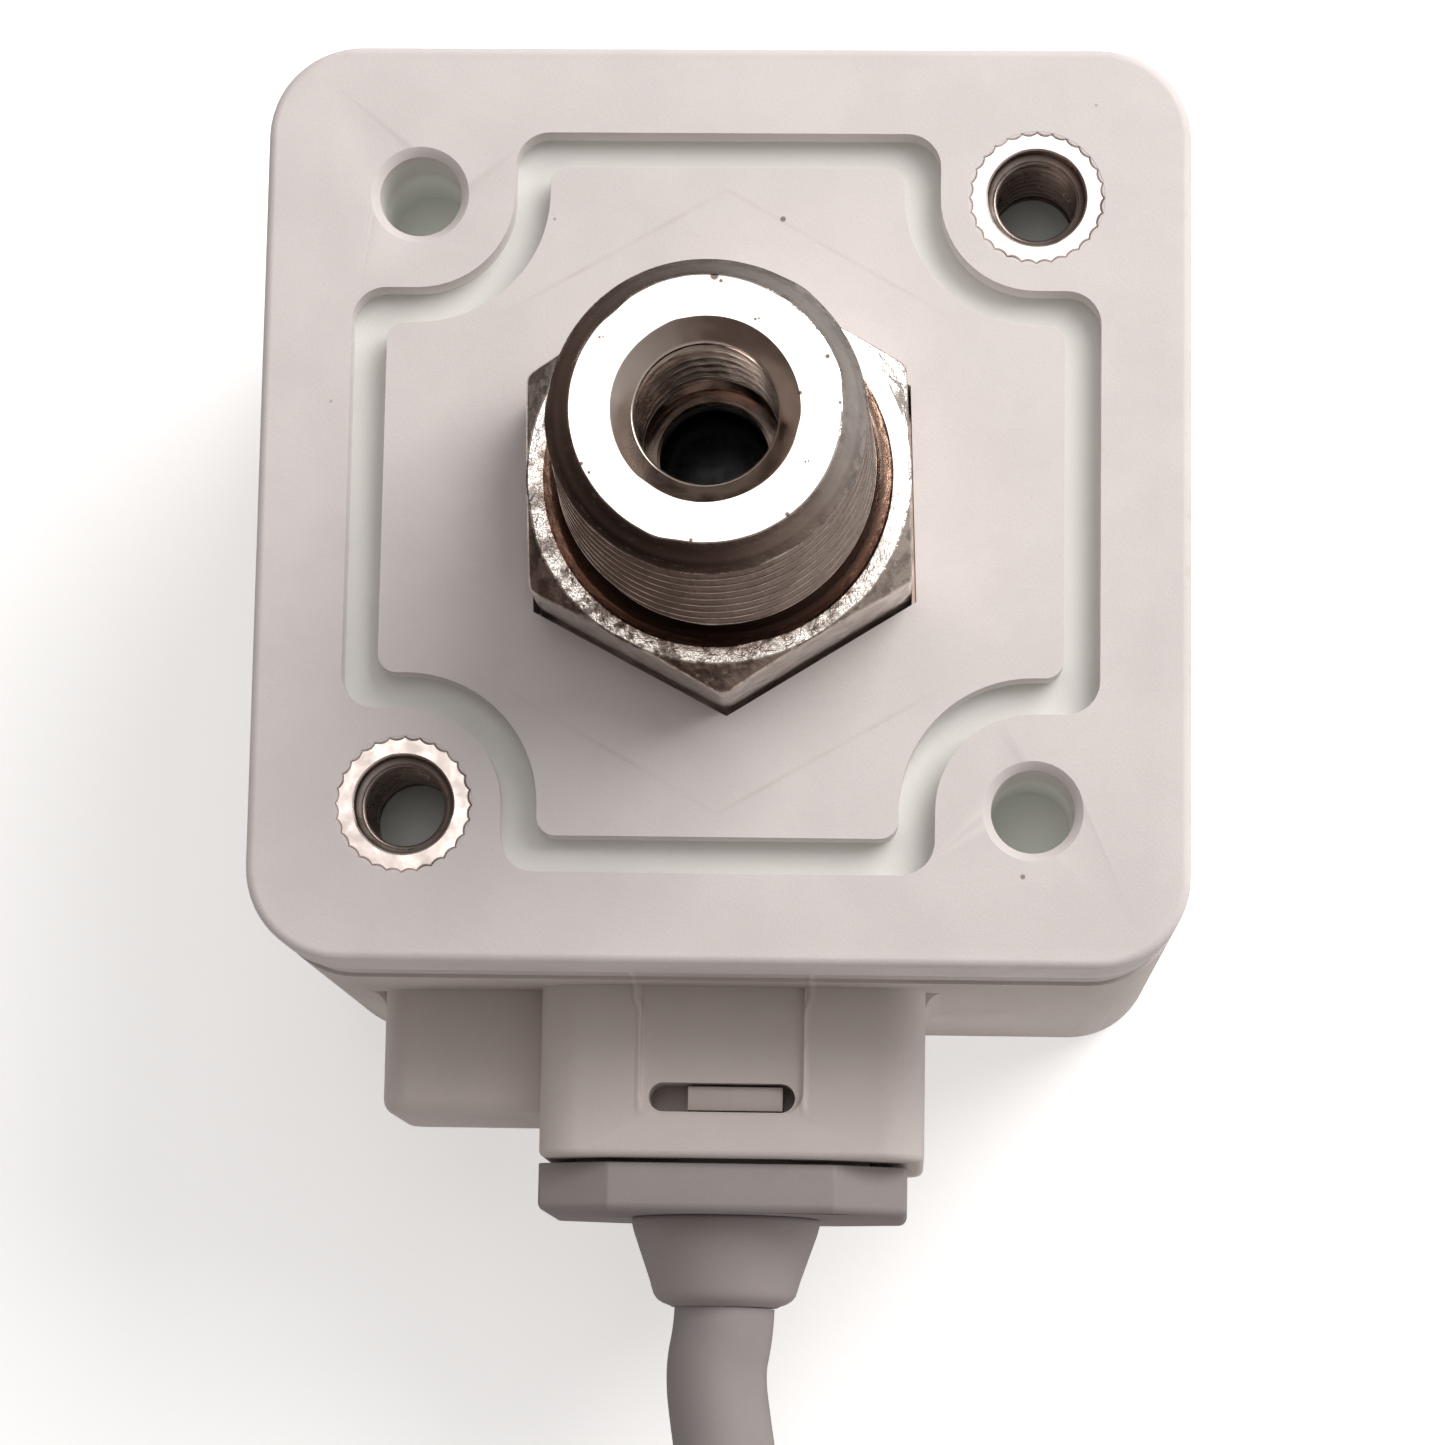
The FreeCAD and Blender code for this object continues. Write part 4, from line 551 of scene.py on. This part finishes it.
class Turned:
    """A surface of rings round an axis. Each ring gives radius and height for an angle."""

    def __init__(self, columns, centre=(0.0, 0.0)):
        self.columns = columns
        self.centre = centre
        self.rings = []
        self.sharp = set()
        self.tags = {}

    def ring(self, radius, height, sharp=True, **tags):
        r = radius if callable(radius) else lambda angle: radius
        z = height if callable(height) else lambda angle: height
        if sharp:
            self.sharp.add(len(self.rings))
        row = []
        for i in range(self.columns):
            angle = 2 * math.pi * i / self.columns
            row.append((r(angle), z(angle), angle))
        self.rings.append(row)
        for key, value in tags.items():
            given = value if callable(value) else lambda angle, value=value: value
            self.tags.setdefault(key, {})[len(self.rings) - 1] = given
        return self

    def mesh(self, name, turn=None):
        verts, faces = [], []
        cx, cy = self.centre
        for row in self.rings:
            for r, z, angle in row:
                point = Vector((cx + r * math.cos(angle), cy + r * math.sin(angle), z)) * MM
                verts.append(turn @ point if turn else point)
        n, count = self.columns, len(self.rings)
        for j in range(count):
            k = (j + 1) % count
            for i in range(n):
                h = (i + 1) % n
                faces.append((j * n + i, k * n + i, k * n + h, j * n + h))
        made = bpy.data.meshes.new(name)
        made.from_pydata(verts, [], faces)
        for key, rows in self.tags.items():
            data = made.attributes.new(key, "FLOAT", "POINT").data
            for j, given in rows.items():
                for i in range(n):
                    data[j * n + i].value = given(2 * math.pi * i / n)
        for face in made.polygons:
            face.use_smooth = True
        for edge in made.edges:
            a, b = edge.vertices
            if a // n == b // n and a // n in self.sharp:
                edge.use_edge_sharp = True
        made.update()
        volume = 0.0
        for face in made.polygons:
            volume += face.center.dot(face.normal) * face.area
        if volume < 0:
            made.flip_normals()
        return made


def tooth(phase, flat):
    """A V thread's height, 0 at the root and 1 at the crest, with short flats."""
    level = abs(2 * (phase % 1.0) - 1)
    return min(max((level - flat) / (1 - 2 * flat), 0.0), 1.0)


def thread(surface, z0, z1, pitch, crest, root, rows_per_turn, flat, ends, tint, dull):
    """Rings of a right-hand thread from z0 to z1. crest and root give radii by height,
    flat is the part of a pitch that is level at the root and at the crest, ends says
    whether the thread runs out to its root, 0, or its crest, 1, and tint how dark its
    crest and its root are painted, as painted shade."""
    rows = max(2, int(abs(z1 - z0) / pitch * rows_per_turn))
    for j in range(rows + 1):
        z = z0 + (z1 - z0) * j / rows
        to_start, to_end = abs(z - z0) / (0.5 * pitch), abs(z1 - z) / (0.5 * pitch)
        rest = ends[0] if to_start < to_end else ends[1]
        full = min(1.0, to_start, to_end)

        def level(angle, z=z, full=full, rest=rest):
            height = tooth(z / pitch - angle / (2 * math.pi), flat)
            return rest + (height - rest) * full

        def radius(angle, z=z, level=level):
            return root(z) + (crest(z) - root(z)) * level(angle)

        def deep(angle, level=level):
            return tint[1] + (tint[0] - tint[1]) * level(angle)

        surface.ring(radius, z, sharp=False, deep=deep, dull=dull)


# ---------------------------------------------------------------- port fitting
def hexagon(angle):
    """The hexagon's radius at an angle. The lower HEX_WEAR is, the rounder its corners."""
    total = 0.0
    for k in range(6):
        along = math.cos(angle - HEX_TURN - math.pi / 3 * k)
        if along > 0:
            total += along**HEX_WEAR
    return HEX_FLAT / total ** (1 / HEX_WEAR)


def wobble(angle, seed, size):
    """A small, repeatable unevenness round a turned edge."""
    value = 0.0
    for k in range(1, 9):
        value += math.sin(angle * (k * 3 + seed % 5) + seed * k * 1.7) / k
    return size * value * 0.5


def facing(angle, towards):
    """1 on the side that faces a direction in degrees, 0 on the far side."""
    return 0.5 + 0.5 * math.cos(angle - math.radians(towards))


def worn(angle):
    """How battered the hexagon's top is, which also sets its painted glints and painted shade:
    most towards the left and the front.
    """
    return facing(angle, 228) ** 0.8


# How dark painted shade and painted reflection make each part of the port at an angle: 0 is bright
# plating, 1 is nearly black.
def facet_painted_shade(angle):
    return 0.14 + 0.4 * facing(angle, 268) ** 3


def trough_painted_shade(angle):
    return 0.1 + 0.7 * facing(angle, 268) ** 2.2


def bevel_painted_shade(angle):
    return 0.78 * facing(angle, 234) ** 1.5


def mouth_painted_shade(angle):
    return 0.16 + 0.2 * facing(angle, 60)


def shoulder(angle):
    """The height of the hexagon's chamfered corners, cut at 30 degrees."""
    past_flat = hexagon(angle) - HEX_FLAT + wobble(angle, 3, 0.05)
    return HEX_TOP - past_flat * math.tan(math.radians(30))


def port_fitting():
    top = Turned(360)
    # the foot and flange inside the case, and the hexagon
    top.ring(3.47, 17.6, deep=0.3).ring(5.0, 17.6).ring(5.0, 20.4).ring(9.0, 20.4)
    # painted shade: the hexagon's sides are painted darker towards their foot, and its corner
    # facets and the lower left of its top darker by angle
    top.ring(9.0, 22.2).ring(lambda a: hexagon(a) - 0.02, 22.2, deep=0.5)
    top.ring(hexagon, 22.22, deep=0.5, dull=0.3)
    top.ring(hexagon, 25.2, deep=0.35, dull=0.3)
    top.ring(hexagon, 25.6, deep=0.15, dull=0.3)
    top.ring(hexagon, lambda a: shoulder(a) - 0.07, deep=0.1, dull=0.4)
    top.ring(lambda a: hexagon(a) - 0.05, shoulder, deep=facet_painted_shade, dull=0.6)
    top.ring(lambda a: 6.03 + wobble(a, 5, 0.05), HEX_TOP - 0.02, deep=facet_painted_shade, dull=worn)
    top.ring(lambda a: 5.97 + wobble(a, 5, 0.05), HEX_TOP, dull=worn)
    top.ring(lambda a: 5.75 + wobble(a, 9, 0.02), HEX_TOP + 0.005, sharp=False, dull=worn)
    top.ring(lambda a: 5.5 + wobble(a, 6, 0.04), HEX_TOP, dull=worn, deep=lambda a: 0.35 * worn(a))
    # the trough round the thread's foot, painted darker in its floor and on the side towards the
    # lead, as painted shade
    top.ring(5.42, HEX_TOP - 0.05, deep=0.3, dull=0.6)
    top.ring(5.2, HEX_TOP - 0.3, deep=trough_painted_shade, dull=0.2, sharp=False)
    top.ring(4.9, HEX_TOP - 0.44, deep=trough_painted_shade, dull=0.0, sharp=False)
    top.ring(4.32, HEX_TOP - 0.45, deep=trough_painted_shade, dull=0.0)
    top.ring(4.3, HEX_TOP + 0.1, deep=0.8)
    # the outside thread with its 1 in 16 taper, its bevel and the end face, with painted shade in
    # the thread's roots and on the bevel's side towards the left and the lead
    root = lambda z: 4.30 + (THREAD_END - z) / 32
    crest = lambda z: 4.75 + (THREAD_END - z) / 32
    thread(
        top, HEX_TOP + 0.6, 36.9, 0.907, crest, root,
        rows_per_turn=18, flat=0.13, ends=(0.0, 1.0), tint=(0.3, 1.0), dull=0.22,
    )
    top.ring(lambda a: 4.76 + wobble(a, 2, 0.03), 36.94, deep=0.0, dull=0.5)
    top.ring(lambda a: 4.72 + wobble(a, 2, 0.03), THREAD_END, deep=bevel_painted_shade, dull=0.5)
    top.ring(4.55, 37.24, deep=lambda a: bevel_painted_shade(a) + 0.12, dull=0.2, sharp=False)
    top.ring(4.42, 37.42, deep=bevel_painted_shade, dull=0.1, sharp=False)
    top.ring(4.2, 37.66, deep=lambda a: bevel_painted_shade(a) + 0.08, dull=0.15, sharp=False)
    top.ring(lambda a: 4.05 + wobble(a, 7, 0.04), PORT_END - 0.05, deep=bevel_painted_shade, dull=0.5)
    top.ring(lambda a: 4.0 + wobble(a, 7, 0.04), PORT_END, deep=0.0, dull=0.0)
    # the mouth, the inside thread, the recess below it and the bore, painted darker inside as
    # painted shade
    top.ring(lambda a: 2.8 + wobble(a, 4, 0.015), PORT_END, deep=0.0, dull=0.0)
    top.ring(lambda a: 2.76 + wobble(a, 4, 0.015), PORT_END - 0.04, deep=mouth_painted_shade)
    top.ring(2.2, PORT_END - 0.62, deep=mouth_painted_shade)
    thread(
        top, PORT_END - 0.66, 31.9, 0.8, lambda z: 2.12, lambda z: 2.44,
        rows_per_turn=16, flat=0.14, ends=(1.0, 0.0), tint=(0.0, 1.0), dull=0.0,
    )
    top.ring(2.45, 31.8, deep=0.95).ring(2.45, 31.35, deep=0.95).ring(2.2, 31.0, deep=0.4)
    top.ring(1.78, 31.0, deep=0.3).ring(1.7, 30.92, deep=0.05)
    top.ring(1.7, 30.2, deep=0.75).ring(3.47, 30.2, deep=0.5)
    piece("port_fitting_turned", top.mesh("port_fitting_turned"), "port_fitting")


port_fitting()

# ---------------------------------------------------------------- inserts
TEETH = 28
COLUMNS_PER_TOOTH = 10
TOOTH_TIP = 2.19
TOOTH_ROOT = 2.1


def knurl(angle, grow=0.0):
    """The knurled outline: pointed ridges with round valleys between them."""
    level = 1.0 - abs(math.sin(TEETH * angle / 2)) ** 0.8
    return TOOTH_ROOT + (TOOTH_TIP - TOOTH_ROOT) * level + grow


def insert(node, x, y, seed):
    """A brass insert, its knurled top smeared level with the cover and its thread inside."""
    surface = Turned(TEETH * COLUMNS_PER_TOOTH, (x, y))
    smear = lambda a: knurl(a) + wobble(a, seed, 0.012) - 0.012
    # painted shade: the values given on these rings and on the thread paint the bore and thread
    # darker
    surface.ring(1.3, 20.0, deep=0.9).ring(lambda a: smear(a) - 0.05, 20.0)
    surface.ring(smear, 20.05).ring(smear, 24.95)
    surface.ring(lambda a: smear(a) - 0.04, 24.995)
    surface.ring(lambda a: 1.64 + wobble(a, seed + 2, 0.008), BODY_TOP, deep=0.0)
    surface.ring(lambda a: 1.58 + wobble(a, seed + 2, 0.008), 24.96, deep=0.4)
    surface.ring(1.55, 24.6, deep=0.8).ring(1.42, 24.5, deep=0.35)
    surface.ring(1.38, 24.46, deep=0.1).ring(1.36, 24.38, deep=0.7)
    thread(
        surface, 24.36, 20.4, 0.5, lambda z: 1.27, lambda z: 1.42,
        rows_per_turn=10, flat=0.2, ends=(1.0, 0.0), tint=(0.45, 0.75), dull=0.0,
    )
    surface.ring(1.3, 20.3, deep=0.9)
    piece(node + "_knurled", surface.mesh(node + "_knurled"), node)


def insert_surround(name, x, y):
    """The cover's plastic where it has flowed between the knurls."""
    surface = Turned(TEETH * COLUMNS_PER_TOOTH, (x, y))
    inside = lambda a: knurl(a, 0.001)
    surface.ring(inside, 24.2).ring(inside, 24.94).ring(lambda a: inside(a) + 0.03, 24.985)
    surface.ring(2.36, 24.998).ring(2.4, 24.96).ring(2.3, 24.8).ring(2.212, 24.2)
    extra(name, surface.mesh(name), "cover_plastic", "housing")


insert("insert_a", 10.0, 10.0, 11)
insert("insert_b", -10.0, -10.0, 17)
insert_surround("insert_surround_a", 10.0, 10.0)
insert_surround("insert_surround_b", -10.0, -10.0)

# ---------------------------------------------------------------- mouldings
softened("rear_cover", 0.11)
softened("front_case", 0.13)
softened("plug_body", 0.08)
softened("latch_lever", 0.14, segments=3)
for key in ("set_key", "up_key", "down_key"):
    softened(key, 0.06)
softened("display_window", 0.05)


def cable_boot():
    """A tapered sleeve with a rounded lip, a little out of round, where the lead comes out."""
    along_y = Matrix(((1, 0, 0), (0, 0, -1), (0, 1, 0)))
    middle = Vector((0, 0, LEAD_HEIGHT)) * MM
    surface = Turned(96)
    squash = lambda r, k: (lambda a: r * (1 + k * math.cos(2 * a)))
    # radius, distance towards the lead and how far out of round
    profile = [
        (3.10, 22.40, 0.0), (3.18, 22.43, 0.0), (3.21, 22.55, 0.0), (3.12, 22.90, 0.0),
        (2.98, 23.30, 0.0), (2.84, 23.70, 0.0), (2.70, 24.10, 0.0), (2.56, 24.50, 0.0),
        (2.46, 24.80, 0.006), (2.39, 24.99, 0.008), (2.27, 25.15, 0.008), (2.08, 25.27, 0.006),
        (1.90, 25.34, 0.0), (1.78, 25.40, 0.0), (1.71, 25.38, 0.0),
    ]
    for r, y, k in profile:
        surface.ring(squash(r, k), y, sharp=False)
    surface.ring(1.69, 22.6)
    made = surface.mesh("cable_boot_moulded", turn=along_y)
    made.transform(Matrix.Translation(middle))
    piece("cable_boot_moulded", made, "cable_boot")


cable_boot()


# ---------------------------------------------------------------- hank's ties and ends
def swept_loop(name, outline, width, thick, y):
    """A flat strap round an outline in X and Z, with fine ribs on its outer face."""
    verts, faces = [], []
    count = len(outline)
    half, lip, corners = width / 2, 0.25, 6
    for i, (x, z, nx, nz) in enumerate(outline):
        rib = thick * (0.82 + 0.18 * (i % 2))
        side = rib * 0.8
        section = (
            (-half, 0.0), (-half, side), (-half + lip, rib),
            (half - lip, rib), (half, side), (half, 0.0),
        )
        for across, out in section:
            verts.append(Vector((x + nx * out, y + across, z + nz * out)) * MM)
    for i in range(count):
        j = (i + 1) % count
        for k in range(corners):
            m = (k + 1) % corners
            a, b = i * corners, j * corners
            faces.append((a + k, b + k, b + m, a + m))
    made = bpy.data.meshes.new(name)
    made.from_pydata(verts, [], faces)
    return made


def rounded_outline(x0, x1, z0, z1, corner, step):
    """Points and outward directions round a rounded rectangle."""
    points = []
    turns, turn_angle = 6, 15
    middles = [(x1 - corner, z1 - corner, 0), (x0 + corner, z1 - corner, 90)]
    middles += [(x0 + corner, z0 + corner, 180), (x1 - corner, z0 + corner, 270)]
    for index, (cx, cz, start) in enumerate(middles):
        for k in range(turns + 1):
            a = math.radians(start + turn_angle * k)
            nx, nz = math.cos(a), math.sin(a)
            points.append((cx + corner * nx, cz + corner * nz, nx, nz))
        next_x, next_z, _ = middles[(index + 1) % 4]
        a = math.radians(start + 90)
        nx, nz = math.cos(a), math.sin(a)
        ex, ez = points[-1][0], points[-1][1]
        tx, tz = next_x + corner * nx, next_z + corner * nz
        parts = max(1, int(math.hypot(tx - ex, tz - ez) / step))
        for k in range(1, parts):
            t = k / parts
            points.append((ex + (tx - ex) * t, ez + (tz - ez) * t, nx, nz))
    return points


def block(bm, x0, x1, y0, y1, z0, z1, bevel):
    """A small moulded block with rounded edges, added to a bmesh."""
    made = bmesh.ops.create_cube(bm, size=1.0)
    place = Matrix.Translation(Vector(((x0 + x1) / 2, (y0 + y1) / 2, (z0 + z1) / 2)) * MM)
    size = Matrix.Diagonal((abs(x1 - x0) * MM, abs(y1 - y0) * MM, abs(z1 - z0) * MM, 1))
    bmesh.ops.transform(bm, matrix=place @ size, verts=made["verts"])
    edges = list({e for v in made["verts"] for e in v.link_edges})
    bmesh.ops.bevel(bm, geom=edges, offset=bevel * MM, segments=3, affect="EDGES", profile=0.5)


STRAP_LOW = 0.48
STRAP_HIGH = 17.55
STRAP_WIDTH = 3.2
STRAP_THICK = 0.45
TIE_Y = NEAR_Y - 38.0


def ties():
    """Two nylon ties: a ribbed strap, its locking head and a cut-off tail each."""
    bm = bmesh.new()
    for side in (-1, 1):
        near_x = side * (INNER_LANE - CABLE_RADIUS - 0.05)
        far_x = side * (OUTER_LANE + CABLE_RADIUS + 0.05)
        x0, x1 = sorted((near_x, far_x))
        outline = rounded_outline(x0, x1, STRAP_LOW, STRAP_HIGH, 1.2, 0.35)
        strap = swept_loop("strap", outline, STRAP_WIDTH, STRAP_THICK, TIE_Y)
        bm.from_mesh(strap)
        bpy.data.meshes.remove(strap)
        inner = side * (INNER_LANE - CABLE_RADIUS - 0.4)
        low, high = sorted((inner, inner - side * 2.6))
        block(bm, low, high, TIE_Y - 2.3, TIE_Y + 2.3, 8.0, 12.4, 0.35)
        low, high = sorted((inner - side * 0.9, inner - side * 1.7))
        block(bm, low, high, TIE_Y - 1.55, TIE_Y + 1.55, 12.2, 14.6, 0.2)
    bmesh.ops.recalc_face_normals(bm, faces=bm.faces)
    made = bpy.data.meshes.new("cable_ties_ribbed")
    bm.to_mesh(made)
    bm.free()
    for face in made.polygons:
        face.use_smooth = True
    made.set_sharp_from_angle(angle=math.radians(28))
    return piece("cable_ties_ribbed", made, "cable_ties")


tie_piece = ties()
CORE_SIDE = 0.52
CORE_RADIUS = 0.5
CORE_LENGTH = 30.5
CORE_Z = FLOOR_LANE + LANE_PITCH * 4
core_ends = {}
for colour, dx, dz, seed in (
    ("brown", -1, -1, 1),
    ("blue", 1, -1, 2),
    ("black", -1, 1, 3),
    ("white", 1, 1, 4),
):
    x, z = -INNER_LANE + dx * CORE_SIDE, CORE_Z + dz * CORE_SIDE
    line = []
    for k in range(9):
        t = k / 8
        sway = 0.34 * math.sin(math.pi * t) * math.sin(4.1 * t + seed * 1.9)
        lift = 0.16 * math.sin(math.pi * t) * math.cos(3.3 * t + seed)
        y = JACKET_END_Y + 0.5 - CORE_LENGTH * t
        line.append((x + sway + dx * 0.35 * t, y, z + lift))
    core = spline_object("core_" + colour + "_wire", line, CORE_RADIUS, ring=5)
    core.data.name = core.name
    dress(core, "core_" + colour)
    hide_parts("core_" + colour)
    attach(core, "plug")
    core_ends[colour] = line[-1]


def tinned_ends():
    """Twisted, tinned strands past the end of each core."""
    bm = bmesh.new()
    rings, columns, strands = 26, 28, 7
    for x, y, z in core_ends.values():
        rows = []
        for j in range(rings + 1):
            t = j / rings
            at = y + 0.3 - 5.1 * t
            radius = 0.29 * (1 - 0.75 * max(0.0, (t - 0.93) / 0.07))
            row = []
            for i in range(columns):
                angle = 2 * math.pi * i / columns
                lay = radius * (1 + 0.10 * math.cos(strands * (angle + 5.0 * t)))
                point = Vector((x + lay * math.cos(angle), at, z + lay * math.sin(angle)))
                row.append(bm.verts.new(point * MM))
            rows.append(row)
        for lower, upper in zip(rows, rows[1:]):
            for i in range(columns):
                k = (i + 1) % columns
                bm.faces.new((lower[i], upper[i], upper[k], lower[k]))
        bm.faces.new(rows[0])
        bm.faces.new(list(reversed(rows[-1])))
    bmesh.ops.recalc_face_normals(bm, faces=bm.faces)
    made = bpy.data.meshes.new("tinned_ends_twisted")
    bm.to_mesh(made)
    bm.free()
    for face in made.polygons:
        face.use_smooth = True
    made.set_sharp_from_angle(angle=math.radians(50))
    return piece("tinned_ends_twisted", made, "tinned_ends")


tin_piece = tinned_ends()

# ---------------------------------------------------------------- lead's facts
dress(lead, "cable_jacket")
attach(lead, "plug")
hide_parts("cable_tube", "cable_hank")


# ---------------------------------------------------------------- floor and light
def stage_paper(name, verts, faces, colour, glow):
    """A sheet of pale paper that gives off a little light and shows in no reflection."""
    made = bpy.data.meshes.new(name)
    made.from_pydata(verts, [], faces)
    obj = bpy.data.objects.new(name, made)
    bpy.context.scene.collection.objects.link(obj)
    shader = Shader(name + "_paper", colour, 0.9, specular=0.1)
    shader.mottle(0.004, 0.01)
    shader.bsdf.inputs["Emission Color"].default_value = (1, 1, 1, 1)
    shader.bsdf.inputs["Emission Strength"].default_value = glow
    made.materials.append(shader.material)
    obj.visible_glossy = False
    return obj, shader


def floor_piece():
    """The floor, a hair below the object."""
    half = 3
    corners = [(-half, -half, 0), (half, -half, 0), (half, half, 0), (-half, half, 0)]
    obj, shader = stage_paper("floor", corners, [(0, 1, 2, 3)], (0.93, 0.93, 0.925), 0.42)
    shader.grain(3.0, 0.05, 0.01)
    obj.location.z = -0.00005


def backdrop_piece():
    """A pale wall far round the floor, there for the camera and not for the light."""
    columns, radius, top = 96, 2.9, 2.4
    verts, faces = [], []
    for z in (-0.01, top):
        for i in range(columns):
            angle = 2 * math.pi * i / columns
            verts.append((radius * math.cos(angle), radius * math.sin(angle), z))
    for i in range(columns):
        k = (i + 1) % columns
        faces.append((i, k, columns + k, columns + i))
    obj, _ = stage_paper("backdrop", verts, faces, (0.86, 0.86, 0.855), 0.5)
    obj.visible_diffuse = False
    obj.visible_transmission = False
    obj.visible_shadow = False


def area_light(name, place, aim, size, power, colour):
    data = bpy.data.lights.new(name, "AREA")
    data.shape = "DISK"
    data.size = size
    data.energy = power
    data.color = colour
    obj = bpy.data.objects.new(name, data)
    obj.location = place
    obj.rotation_euler = (Vector(aim) - Vector(place)).to_track_quat("-Z", "Y").to_euler()
    bpy.context.scene.collection.objects.link(obj)


def studio_world():
    """Soft light, brightest above, to the right and behind, and dim towards the lead."""
    world = bpy.data.worlds.new("studio")
    bpy.context.scene.world = world
    world.use_nodes = True
    tree = world.node_tree
    background = next(n for n in tree.nodes if n.type == "BACKGROUND")
    where = tree.nodes.new("ShaderNodeTexCoord")
    along = tree.nodes.new("ShaderNodeVectorMath")
    along.operation = "DOT_PRODUCT"
    along.inputs[1].default_value = (0.66, 0.36, 0.66)
    tree.links.new(where.outputs["Generated"], along.inputs[0])
    fade = tree.nodes.new("ShaderNodeMapRange")
    fade.inputs["From Min"].default_value = -0.3
    fade.inputs["From Max"].default_value = 1.0
    tree.links.new(along.outputs["Value"], fade.inputs["Value"])
    blend = tree.nodes.new("ShaderNodeMix")
    blend.data_type = "RGBA"
    blend.inputs[MIX_UNDER].default_value = (0.13, 0.105, 0.095, 1)
    blend.inputs[MIX_OVER].default_value = (0.66, 0.64, 0.625, 1)
    tree.links.new(fade.outputs[0], blend.inputs["Factor"])
    tree.links.new(blend.outputs[MIX_RESULT], background.inputs["Color"])
    background.inputs["Strength"].default_value = 0.8


floor_piece()
backdrop_piece()
AIM = (0, 0, 0.02)
area_light("key", (0.135, 0.125, 0.21), AIM, 0.2, 0.6, (1.0, 0.985, 0.97))
area_light("top", (-0.02, 0.10, 0.50), AIM, 0.24, 0.26, (1.0, 0.995, 0.985))
studio_world()
bpy.context.scene.view_settings.view_transform = "Standard"
